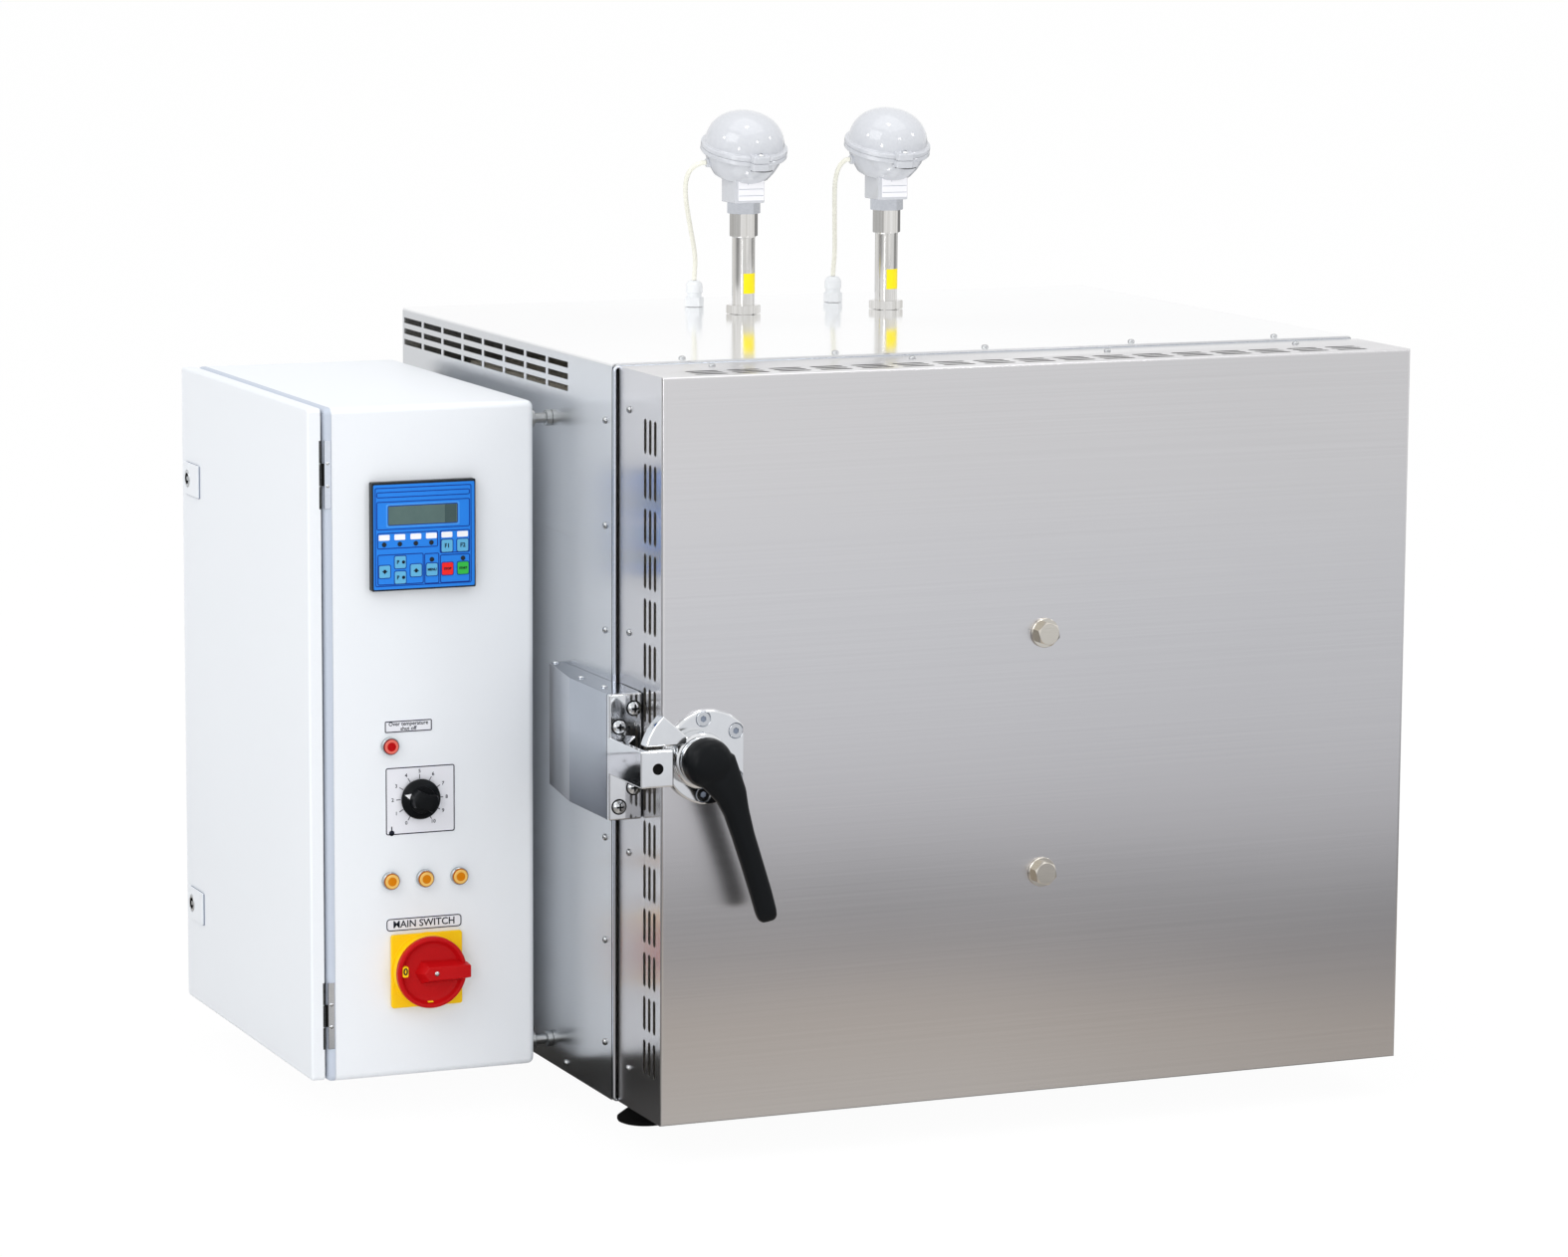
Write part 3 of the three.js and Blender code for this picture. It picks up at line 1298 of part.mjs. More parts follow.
function sensorHead(name, place) {
  const [x, y] = place;
  const bowl = lathe('z', [[0, -headBowlDepth], [headBowlFoot, -headBowlDepth],
    [headBowlRadius * bowlWaistShare, -headBowlDepth * bowlWaistDepthShare], [headBowlRadius, -headRim],
    [headRimRadius, -headRim], [headRimRadius, -seat / 2], [0, -seat / 2]], [0, 0, 0]);
  const hollow = bar('z', headHollowRadius, -headHollowDepth, overrun, [0, 0, 0]);
  const terminals = bar('z', terminalRadius, -headHollowDepth - seat, terminalHeight - headHollowDepth,
    [0, 0, 0], coarseSegments);
  const ear = block(-earWidth / 2, earWidth / 2, -headRimRadius - earReach, -headBowlRadius,
    -earDepth, -seat / 2);
  const length = lidKnuckleLength;
  const out = lidKnuckleAt();
  const knuckles = [-length, length].map((at) => join(
    bar('x', lidKnuckle, at - length / 2 + seat, at + length / 2, [0, out, 0]),
    block(at - length / 2 + seat, at + length / 2, headBowlRadius, out, -headRim, -seat / 2),
  ));
  const pin = bar('x', lidPin, -length * lidPinShare, length * lidPinShare, [0, out, 0], coarseSegments);
  const head = join(cut(join(bowl, ear), hollow), terminals, ...knuckles, pin);
  const neck = block(x - neckWidth / 2, x + neckWidth / 2, y - neckDepth / 2, y + neckDepth / 2,
    bodyTop + seat + stemLockTop + seat, bodyTop + neckTop + headBowlDepth / 3);
  const boss = bar('x', bossRadius, -headBowlRadius - bossReach, -headBowlFoot,
    [0, 0, -headBowlDepth / 2], coarseSegments);
  const body = join(tilted(join(head, boss), place), cut(neck, tilted(hollowCutter(), place)));
  return piece(name, body, headPaint());
}

function hollowCutter() {
  return bar('z', headHollowRadius, -headHollowDepth, headHollowDepth, [0, 0, 0]);
}

const lidRadiusShares = [0.92, 0.88, 0.76, 0.56, 0.3, 0];
const lidRiseShares = [0, 0.3, 0.6, 0.84, 0.96, 1];

function sensorLid(name, place) {
  const from = seat / 2;
  const outside = lidRadiusShares.map((share, i) => [headRimRadius * share,
    headRim + lidRiseShares[i] * lidRise]);
  const shrink = (headRimRadius - lidWall) / headRimRadius;
  const inside = lidRadiusShares.map((share, i) => [headRimRadius * share * shrink,
    headRim + lidRiseShares[i] * (lidRise - lidWall)]);
  const mouth = inside[0][0];
  const shell = lathe('z', [[0, from], [headRimRadius, from], [headRimRadius, headRim], ...outside],
    [0, 0, 0]);
  const room = lathe('z', [[0, from - overrun], [mouth, from - overrun], ...inside], [0, 0, 0]);
  const dome = cut(shell, room);
  const ear = block(-earWidth / 2, earWidth / 2, -headRimRadius - earReach, -headBowlRadius,
    from, earDepth);
  const length = lidKnuckleLength;
  const out = lidKnuckleAt();
  const knuckle = join(bar('x', lidKnuckle, -length / 2, length / 2, [0, out, 0]),
    block(-length / 2, length / 2, headBowlRadius, out, from, headRim));
  const bore = bar('x', lidPin + seat, -length, length, [0, out, 0], coarseSegments);
  return piece(name, tilted(cut(join(dome, ear, knuckle), bore), place), headPaint());
}

function leadGlandPlace([x, y], shift) {
  return [x + shift, y + leadGlandSetback];
}

function leadGland(name, place, shift) {
  const z = bodyTop + seat;
  const at = [...leadGlandPlace(place, shift), z];
  const body = lathe('z', [[0, 0], [leadGlandHexRadius, 0], [leadGlandHexRadius, leadGlandHex],
    [leadGlandNeck, leadGlandHex], [leadGlandNeck, leadGlandNeckTop], [leadGlandCap, leadGlandNeckTop],
    [leadGlandCap, leadGlandTop - leadRadius * 2], [leadRadius * 2, leadGlandTop], [0, leadGlandTop]],
  at, coarseSegments);
  return piece(name, body, whitePlastic());
}

// The route of each lead from the head's boss to the gland, from the head's centre.
const leadRouteLeft = [[-62, 14, -8], [-66, 28, -24], [-62, 44, -46], [-52, 58, -72], [-38, 70, -96]];
const leadRouteRight = [[-58, 14, -8], [-62, 28, -24], [-58, 44, -46], [-48, 58, -72], [-36, 70, -96]];

function sensorLead(name, place, shift, route) {
  const tilt = THREE.MathUtils.degToRad(headTilt);
  const drop = -headBowlDepth / 2;
  const [x, y] = place;
  const z = bodyTop + headHeight;
  const exit = -headBowlRadius - bossReach - seat;
  const start = [x + exit, y - Math.sin(tilt) * drop, z + Math.cos(tilt) * drop];
  const [gx, gy] = leadGlandPlace(place, shift);
  const end = [gx, gy, bodyTop + seat + leadGlandTop + seat];
  const points = [start, [start[0] - leadRadius, start[1], start[2]],
    ...route.map(([a, b, c]) => [x + a, y + b, z + c]), [end[0], end[1], end[2] + leadRadius], end]
    .map((p) => new THREE.Vector3(...p));
  return piece(name, tube(points, leadRadius, leadSteps, leadSides), creamCable());
}

// Assembly.
function oven() {
  const group = new THREE.Group();
  group.add(casingWrap(), casingFloor(), rearPanel(), frontFrame());
  group.add(chamberLiner(), insulation(), fanMotor(), fanImpeller(), fanBaffle(), heaterElement());
  group.add(shelfLadder('ladder_left', -1), shelfLadder('ladder_right', 1), shelf());
  const footX = bodyRight - footInset;
  group.add(foot('foot_front_left', -footX, footInset), foot('foot_front_right', footX, footInset));
  group.add(foot('foot_rear_left', -footX, bodyDepth - footInset));
  group.add(foot('foot_rear_right', footX, bodyDepth - footInset));
  group.add(strikeCover(), strikeBracket());
  group.add(hingeBracket('hinge_bracket_upper', hingeUpperHeight));
  group.add(hingeBracket('hinge_bracket_lower', hingeLowerHeight));
  return group;
}

function door() {
  const group = new THREE.Group();
  group.add(doorCover(), doorLiner(), doorInsulation(), doorGasket());
  group.add(doorBolt('door_bolt_upper', boltUpperHeight), doorBolt('door_bolt_lower', boltLowerHeight));
  group.add(hingeStrap('hinge_strap_upper', hingeUpperHeight));
  group.add(hingeStrap('hinge_strap_lower', hingeLowerHeight));
  group.add(latchPlate(), latchCam(), latchHandle());
  return group;
}

function cabinet() {
  const group = new THREE.Group();
  const places = instrumentPlaces();
  group.add(cabinetShell(), cabinetDoor(), mountingPlate(), controller(), switchPlate(), switchHandle());
  const [lockUpper, lockLower] = lockHeights();
  group.add(cabinetLock('cabinet_lock_upper', lockUpper), cabinetLock('cabinet_lock_lower', lockLower));
  group.add(lamp('alarm_lamp', places.alarm, redLens()), temperatureKnob(), mainsGland());
  places.lamps.forEach((place, i) => group.add(lamp(`pilot_lamp_${i + 1}`, place, amberLens())));
  const sides = { front: cabinetSetback + standoffInset, rear: cabinetRear - standoffInset };
  const levels = { lower: cabinetBase + standoffInset, upper: cabinetTop - standoffInset };
  Object.entries(sides).forEach(([side, y]) => Object.entries(levels)
    .forEach(([level, z]) => group.add(standoff(`standoff_${level}_${side}`, y, z))));
  return group;
}

function sensors() {
  const group = new THREE.Group();
  const [left, right] = sensorPlaces();
  const sets = [['left', left, leadGlandLeftShift, leadRouteLeft],
    ['right', right, leadGlandRightShift, leadRouteRight]];
  sets.forEach(([side, place, shift, route]) => {
    group.add(sensorStem(`sensor_stem_${side}`, place), sensorHead(`sensor_head_${side}`, place));
    group.add(sensorLid(`sensor_lid_${side}`, place), leadGland(`lead_gland_${side}`, place, shift));
    group.add(sensorLead(`sensor_lead_${side}`, place, shift, route));
  });
  return group;
}

// The origin is on the floor, under the middle of the whole object.
const assembly = new THREE.Group();
assembly.add(oven(), door(), cabinet(), sensors());
assembly.position.set(-(partLeft + partRight) / 2, -(partFront + bodyDepth) / 2, 0);

export default assembly;
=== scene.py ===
"""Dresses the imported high-temperature oven: smooth pieces, small fasteners, instruments and finishes."""
import json
import logging
import math
from collections.abc import Callable, Iterable, Sequence
from dataclasses import dataclass
from enum import Enum

import bpy
from mathutils import Euler, Matrix, Vector


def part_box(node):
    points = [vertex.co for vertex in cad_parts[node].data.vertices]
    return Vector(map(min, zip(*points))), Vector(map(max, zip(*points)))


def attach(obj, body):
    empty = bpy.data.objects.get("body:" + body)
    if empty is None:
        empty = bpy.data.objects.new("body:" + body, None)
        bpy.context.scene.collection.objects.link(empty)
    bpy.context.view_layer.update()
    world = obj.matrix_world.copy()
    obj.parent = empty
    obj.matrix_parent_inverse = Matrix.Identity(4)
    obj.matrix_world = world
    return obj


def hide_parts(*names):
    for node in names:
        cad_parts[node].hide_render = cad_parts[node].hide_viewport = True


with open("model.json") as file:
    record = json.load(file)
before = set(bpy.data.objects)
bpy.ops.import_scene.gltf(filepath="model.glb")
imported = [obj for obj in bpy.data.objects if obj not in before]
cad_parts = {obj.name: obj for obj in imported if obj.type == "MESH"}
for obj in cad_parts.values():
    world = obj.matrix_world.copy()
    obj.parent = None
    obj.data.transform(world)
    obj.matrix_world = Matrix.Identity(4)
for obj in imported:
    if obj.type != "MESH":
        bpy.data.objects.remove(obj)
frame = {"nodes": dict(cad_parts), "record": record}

LOG = logging.getLogger("oven")
MM = 0.001
NEAR = 1e-5
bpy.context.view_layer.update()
DATUM = Vector((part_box("casing_wrap")[0].x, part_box("casing_wrap")[0].y, 0.0))

Point = tuple[float, float, float]
Pair = tuple[float, float]
Box = tuple[float, float, float, float]
Stops = tuple[tuple[float, str], ...]
Solid = bpy.types.Object
Socket = bpy.types.NodeSocket


def place(x: float, y: float, z: float) -> Vector:
    """A point in metres, from millimetres right of, behind and above the casing's front left foot line."""
    return DATUM + Vector((x, y, z)) * MM


class Facing(Enum):
    """Which way a piece's own +Z looks once it is settled, as turns about X, Y and Z."""

    UP = (0, 0, 0)
    DOWN = (180, 0, 0)
    FRONT = (90, 0, 0)
    REAR = (90, 0, 180)
    LEFT = (90, 0, -90)
    RIGHT = (90, 0, 90)


class Cut(Enum):
    """How one solid changes another."""

    ADD = "UNION"
    REMOVE = "DIFFERENCE"
    KEEP = "INTERSECT"


def mode(name: str) -> None:
    """Changes to a mode, OBJECT or EDIT."""
    bpy.ops.object.mode_set(mode=name)


def begin() -> None:
    """Returns to object mode with nothing selected."""
    if bpy.context.object and bpy.context.object.mode != "OBJECT":
        mode("OBJECT")
    bpy.ops.object.select_all(action="DESELECT")


def only(obj: Solid) -> None:
    """Leaves one object selected and active, in object mode."""
    begin()
    obj.select_set(True)
    bpy.context.view_layer.objects.active = obj


def select_all() -> None:
    """Selects the whole mesh in edit mode."""
    bpy.ops.mesh.select_all(action="SELECT")


def select_none() -> None:
    """Deselects the whole mesh in edit mode."""
    bpy.ops.mesh.select_all(action="DESELECT")


def extrude(x: float, y: float, z: float) -> None:
    """Extrudes what is selected by a step in millimetres."""
    bpy.ops.mesh.extrude_region_move(TRANSFORM_OT_translate={"value": (x * MM, y * MM, z * MM)})


def edit(obj: Solid, kind: str = "VERT") -> None:
    """Opens an object for editing with all of it selected.

    Args:
        obj: the object to edit.
        kind: VERT, EDGE or FACE.
    """
    only(obj)
    mode("EDIT")
    bpy.ops.mesh.select_mode(type=kind)
    select_all()


def close_edit() -> None:
    """Turns all faces outwards and leaves edit mode."""
    select_all()
    bpy.ops.mesh.normals_make_consistent(inside=False)
    mode("OBJECT")


def put(obj: Solid, matrix: Matrix) -> Solid:
    """Gives a piece its place and turn, and applies them to its mesh."""
    only(obj)
    obj.matrix_world = matrix
    bpy.ops.object.transform_apply(location=True, rotation=True, scale=True)
    return obj


def apply_modifier(obj: Solid, kind: str, **values: object) -> None:
    """Adds a modifier with the given values and applies it."""
    only(obj)
    modifier = obj.modifiers.new(kind.lower(), kind)
    for key, value in values.items():
        setattr(modifier, key, value)
    bpy.ops.object.modifier_apply(modifier=modifier.name)


def soften(obj: Solid, width: float, segments: int = 3, angle: float = 35.0) -> Solid:
    """Rounds the sharp edges of a piece.

    Args:
        obj: the piece.
        width: the rounding in millimetres.
        segments: facets across each rounding.
        angle: edges sharper than this, in degrees, are rounded.

    Returns:
        The same piece.
    """
    apply_modifier(obj, "BEVEL", width=width * MM, segments=segments, limit_method="ANGLE",
                   angle_limit=math.radians(angle), harden_normals=False)
    return obj


def carve(obj: Solid, tool: Solid, cut: Cut = Cut.REMOVE) -> Solid:
    """Joins or cuts a piece with another solid, which is used up.

    Args:
        obj: the piece that stays.
        tool: the solid that changes it.
        cut: what the tool does.

    Returns:
        The changed piece.
    """
    apply_modifier(obj, "BOOLEAN", operation=cut.value, object=tool, solver="EXACT")
    bpy.data.objects.remove(tool, do_unlink=True)
    return obj


def array(obj: Solid, count: int, step: Point) -> Solid:
    """Repeats a piece in a row, step by step in millimetres, as one mesh."""
    apply_modifier(obj, "ARRAY", count=count, use_relative_offset=False, use_constant_offset=True,
                   constant_offset_displace=Vector(step) * MM)
    return obj


def join(objects: Sequence[Solid]) -> Solid:
    """Makes several pieces one mesh, without cutting them."""
    only(objects[0])
    for obj in objects[1:]:
        obj.select_set(True)
    if len(objects) > 1:
        bpy.ops.object.join()
    return objects[0]


def settle(obj: Solid, at: Point, facing: Facing = Facing.UP, turn: float = 0.0) -> Solid:
    """Turns and moves a piece to its place, then applies that to its mesh.

    Args:
        obj: the piece, made about its own origin.
        at: where its origin goes, in millimetres.
        facing: where its own +Z looks.
        turn: degrees about its own Z first.

    Returns:
        The same piece, with its object at the world's origin.
    """
    base = Euler([math.radians(a) for a in facing.value]).to_matrix().to_4x4()
    return put(obj, Matrix.Translation(place(*at)) @ base @ Matrix.Rotation(math.radians(turn), 4, "Z"))


def local(obj: Solid, shift: Point, turn: float = 0.0, axis: str = "Z") -> Solid:
    """Turns a part about an axis by degrees and shifts it in millimetres, about the world's origin."""
    return put(obj, Matrix.Translation(Vector(shift) * MM) @ Matrix.Rotation(math.radians(turn), 4, axis))


def copies(obj: Solid, spots: Iterable[tuple[Point, Facing]]) -> Solid:
    """Puts copies of a small piece at several places and joins them.

    Args:
        obj: the piece, made about its own origin.
        spots: a place and a facing for each copy.

    Returns:
        One object with all the copies.
    """
    made = []
    for at, facing in spots:
        twin = obj.copy()
        twin.data = obj.data.copy()
        bpy.context.collection.objects.link(twin)
        made.append(settle(twin, at, facing))
    bpy.data.objects.remove(obj, do_unlink=True)
    return join(made)


def slab(width: float, height: float, depth: float, radius: float = 0.0, segments: int = 5) -> Solid:
    """A plate with rounded corners: centred in X and Y, from Z 0 to its depth, in millimetres."""
    begin()
    bpy.ops.mesh.primitive_plane_add(size=1)
    obj = bpy.context.object
    edit(obj)
    bpy.ops.transform.resize(value=(width * MM, height * MM, 1))
    if radius > 0:
        bpy.ops.mesh.bevel(offset=radius * MM, segments=segments, affect="VERTICES")
        select_all()
    extrude(0, 0, depth)
    close_edit()
    return obj


def ring(width: float, height: float, line: float, depth: float, radius: float) -> Solid:
    """A narrow rounded frame: centred in X and Y, from Z 0 to its depth, in millimetres."""
    begin()
    bpy.ops.mesh.primitive_plane_add(size=1)
    obj = bpy.context.object
    edit(obj, "FACE")
    bpy.ops.transform.resize(value=(width * MM, height * MM, 1))
    bpy.ops.mesh.bevel(offset=radius * MM, segments=4, affect="VERTICES")
    select_all()
    bpy.ops.mesh.inset(thickness=line * MM)
    bpy.ops.mesh.delete(type="FACE")
    select_all()
    extrude(0, 0, depth)
    close_edit()
    return obj


def brick(low: Point, high: Point) -> Solid:
    """A block between two corners, in millimetres from the datum."""
    begin()
    a, b = place(*low), place(*high)
    bpy.ops.mesh.primitive_cube_add(size=1, location=(a + b) / 2)
    obj = bpy.context.object
    obj.scale = b - a
    bpy.ops.object.transform_apply(location=True, rotation=True, scale=True)
    return obj


def turned(profile: Sequence[Pair], sides: int = 48) -> Solid:
    """A round piece, from a disc that is extruded and resized along Z.

    Args:
        profile: radius and height of each ring, in millimetres.
        sides: facets round the axis.

    Returns:
        A closed piece about its own Z axis.
    """
    begin()
    (radius, height), rest = profile[0], profile[1:]
    bpy.ops.mesh.primitive_circle_add(vertices=sides, radius=radius * MM, fill_type="NGON",
                                      location=(0, 0, height * MM))
    obj = bpy.context.object
    bpy.ops.object.transform_apply(location=True, rotation=True, scale=True)
    edit(obj, "FACE")
    for wide, level in rest:
        extrude(0, 0, level - height)
        share = wide / radius
        bpy.ops.transform.resize(value=(share, share, 1), center_override=(0, 0, level * MM))
        radius, height = wide, level
    close_edit()
    return obj


def outline(points: Sequence[Pair], height: float = 0.0) -> Solid:
    """A flat face drawn from corner to corner: one point is extruded along the outline, then filled.

    Args:
        points: the corners in millimetres.
        height: where the face lies along Z.

    Returns:
        The face's object, left in edit mode with the face selected.
    """
    begin()
    bpy.ops.mesh.primitive_plane_add(size=0.01)
    obj = bpy.context.object
    edit(obj)
    bpy.ops.mesh.merge(type="CENTER")
    x, y = points[0]
    bpy.ops.transform.translate(value=(x * MM, y * MM, height * MM))
    for nx, ny in points[1:]:
        extrude(nx - x, ny - y, 0)
        x, y = nx, ny
    select_all()
    bpy.ops.mesh.edge_face_add()
    select_all()
    return obj


def cut_out(points: Sequence[Pair], depth: float) -> Solid:
    """A plate of any outline, drawn corner by corner and extruded along Z."""
    obj = outline(points)
    extrude(0, 0, depth)
    close_edit()
    return obj


def loft(low: Sequence[Pair], base: float, high: Sequence[Pair], top: float) -> Solid:
    """A solid between two outlines of as many corners, one at each height, bridged and closed."""
    obj = join([only_made(outline(low, base)), only_made(outline(high, top))])
    edit(obj, "EDGE")
    bpy.ops.mesh.delete(type="ONLY_FACE")
    select_all()
    bpy.ops.mesh.bridge_edge_loops()
    select_all()
    bpy.ops.mesh.fill_holes(sides=0)
    close_edit()
    return obj


def only_made(obj: Solid) -> Solid:
    """Leaves edit mode and gives the same object back."""
    mode("OBJECT")
    return obj


def thicken(obj: Solid, wall: float) -> Solid:
    """Gives an open shell its wall in millimetres, inwards from its outer face."""
    faces = obj.data.polygons
    middle = sum((face.center for face in faces), Vector()) / len(faces)
    if sum((face.center - middle).dot(face.normal) * face.area for face in faces) < 0:
        edit(obj, "FACE")
        bpy.ops.mesh.flip_normals()
        mode("OBJECT")
    apply_modifier(obj, "SOLIDIFY", thickness=wall * MM, offset=-1.0)
    return obj


def select_faces(obj: Solid, direction: Point) -> None:
    """Selects the faces whose normal looks one way, in face edit mode."""
    select_none()
    mode("OBJECT")
    for face in obj.data.polygons:
        face.select = face.normal.dot(Vector(direction)) > 0.99
    mode("EDIT")


def remove_faces(obj: Solid, *directions: Point) -> None:
    """Deletes the faces that look in some directions, in face edit mode."""
    for direction in directions:
        select_faces(obj, direction)
        bpy.ops.mesh.delete(type="FACE")


def select_edges(obj: Solid, wanted: Callable[[Vector, Vector], bool]) -> None:
    """Opens an object for editing with only some of its edges selected.

    Args:
        obj: the object.
        wanted: says of an edge's two ends whether the edge is selected.
    """
    edit(obj, "EDGE")
    select_none()
    mode("OBJECT")
    for edge in obj.data.edges:
        edge.select = wanted(*(obj.data.vertices[i].co for i in edge.vertices))
    mode("EDIT")


def lettering(text: str, height: float, bold: float = 0.0, depth: float = 0.15) -> Solid:
    """Letters as a mesh, centred on their own origin.

    Args:
        text: what they say.
        height: the size of the type in millimetres.
        bold: how much each stroke is widened.
        depth: how far they stand up.

    Returns:
        The letters' mesh.
    """
    begin()
    bpy.ops.object.text_add()
    obj = bpy.context.object
    obj.data.body = text
    obj.data.align_x = "CENTER"
    obj.data.align_y = "CENTER"
    obj.data.size = height * MM
    obj.data.extrude = depth * MM / 2
    obj.data.offset = bold * MM
    obj.data.resolution_u = 3
    bpy.ops.object.convert(target="MESH")
    return bpy.context.object


def pipe(points: Sequence[Vector], radius: float, sides: int = 6) -> Solid:
    """A smooth round tube through points in metres, closed at both ends."""
    begin()
    curve = bpy.data.curves.new("route", "CURVE")
    curve.dimensions = "3D"
    curve.bevel_depth = radius * MM
    curve.bevel_resolution = sides
    curve.use_fill_caps = True
    spline = curve.splines.new("NURBS")
    spline.points.add(len(points) - 1)
    for target, point in zip(spline.points, points):
        target.co = (*point, 1.0)
    spline.use_endpoint_u = True
    spline.order_u = 4
    spline.resolution_u = 8
    obj = bpy.data.objects.new("route", curve)
    bpy.context.collection.objects.link(obj)
    only(obj)
    bpy.ops.object.convert(target="MESH")
    return bpy.context.object


def smooth(obj: Solid, angle: float = 32.0) -> Solid:
    """Shades a piece smooth across edges flatter than an angle in degrees."""
    only(obj)
    bpy.ops.object.shade_smooth_by_angle(angle=math.radians(angle))
    return obj


def tint(code: str) -> tuple[float, float, float, float]:
    """A linear colour from a six-digit screen colour."""
    parts = [int(code[i:i + 2], 16) / 255 for i in (0, 2, 4)]
    r, g, b = (c / 12.92 if c <= 0.04045 else ((c + 0.055) / 1.055) ** 2.4 for c in parts)
    return (r, g, b, 1.0)


@dataclass
class Graph:
    """A shader node tree that is being wired."""

    tree: bpy.types.NodeTree

    def add(self, kind: str, **settings: object) -> bpy.types.Node:
        """A new shader node with its settings."""
        node = self.tree.nodes.new(f"ShaderNode{kind}")
        for name, value in settings.items():
            setattr(node, name, value)
        return node

    def feed(self, slot: Socket, given: object) -> None:
        """Links an output to a slot, or sets the slot to a constant."""
        if isinstance(given, Socket):
            self.tree.links.new(given, slot)
        else:
            slot.default_value = given

    def math(self, kind: str, *given: object) -> Socket:
        """One math operation on outputs or numbers."""
        node = self.add("Math", operation=kind)
        for slot, value in zip(node.inputs, given):
            self.feed(slot, value)
        return node.outputs[0]

    def span(self, given: Socket, edges: Box) -> Socket:
        """Maps a value from one range to another, held at the ends.

        Args:
            given: the value.
            edges: the two ends of the first range, then those of the second.

        Returns:
            The mapped value.
        """
        node = self.add("MapRange")
        for name, value in zip(("Value", "From Min", "From Max", "To Min", "To Max"), (given, *edges)):
            self.feed(node.inputs[name], value)
        return node.outputs["Result"]

    def mix(self, share: object, one: object, two: object, colour: bool = False) -> Socket:
        """Blends two values, or two colours.

        Args:
            share: how much of the second there is.
            one: the first.
            two: the second.
            colour: whether they are colours.

        Returns:
            The blend.
        """
        node = self.add("Mix", data_type="RGBA" if colour else "FLOAT")
        first = 6 if colour else 2
        for index, value in ((0, share), (first, one), (first + 1, two)):
            self.feed(node.inputs[index], value)
        return node.outputs[2 if colour else 0]

    def noise(self, where: Socket, scale: object, detail: float, rough: float) -> Socket:
        """Noise over a place."""
        node = self.add("TexNoise")
        for name, value in (("Vector", where), ("Scale", scale), ("Detail", detail), ("Roughness", rough)):
            self.feed(node.inputs[name], value)
        return node.outputs["Fac"]

    def ramp(self, given: Socket, stops: Sequence[tuple[float, str]]) -> Socket:
        """A colour that follows a value through several stops."""
        node = self.add("ValToRGB")
        while len(node.color_ramp.elements) < len(stops):
            node.color_ramp.elements.new(0.5)
        for element, (spot, code) in zip(node.color_ramp.elements, stops):
            element.position = spot
            element.color = tint(code)
        self.feed(node.inputs["Fac"], given)
        return node.outputs["Color"]


RELIEF = 0.0002
FINE_SHARE = 0.35
TONE_SHARE = 0.25
CALM_SHARE = 0.42
CAP_SHARE = 0.25
STEP = 0.0006
GRAIN_RANGE = (0.3, 0.7)


class Grain(Enum):
    """The small-scale surface that a finish has."""

    BRUSHED = "brushed_lines"
    PEBBLED = "pebbled_skin"


def grain_group(kind: Grain) -> bpy.types.NodeTree:
    """The node group of one grain, built once.

    Args:
        kind: which grain.

    Returns:
        A group with Stretch, Depth, Smudge and Patches in, and Tone, Rough and Normal out.
    """
    if kind.value in bpy.data.node_groups:
        return bpy.data.node_groups[kind.value]
    group = bpy.data.node_groups.new(kind.value, "ShaderNodeTree")
    for name, sort, value in (("Stretch", "Vector", (400.0,) * 3), ("Depth", "Float", 0.1),
                              ("Smudge", "Float", 6.0), ("Patches", "Float", 0.3)):
        made = group.interface.new_socket(name=name, in_out="INPUT", socket_type=f"NodeSocket{sort}")
        made.default_value = value
    for name, sort in (("Tone", "Float"), ("Rough", "Float"), ("Normal", "Vector")):
        group.interface.new_socket(name=name, in_out="OUTPUT", socket_type=f"NodeSocket{sort}")
    graph = Graph(group)
    given = group.nodes.new("NodeGroupInput").outputs
    result = group.nodes.new("NodeGroupOutput").inputs
    where = graph.add("TexCoord").outputs["Object"]
    scaled = graph.add("VectorMath", operation="MULTIPLY")
    graph.feed(scaled.inputs[0], where)
    graph.feed(scaled.inputs[1], given["Stretch"])
    fine = graph.noise(scaled.outputs[0], 1.0, 4.0 if kind is Grain.BRUSHED else 2.0, 0.65)
    broad = graph.noise(where, given["Smudge"], 3.0, 0.5)
    bump = graph.add("Bump")
    for name, value in (("Distance", RELIEF), ("Strength", given["Depth"]), ("Height", fine)):
        graph.feed(bump.inputs[name], value)
    graph.feed(result["Tone"], graph.mix(given["Patches"], fine, broad))
    weak = graph.math("MULTIPLY", broad, 1 - FINE_SHARE)
    graph.feed(result["Rough"], graph.math("MULTIPLY_ADD", fine, FINE_SHARE, weak))
    graph.feed(result["Normal"], bump.outputs["Normal"])
    return group


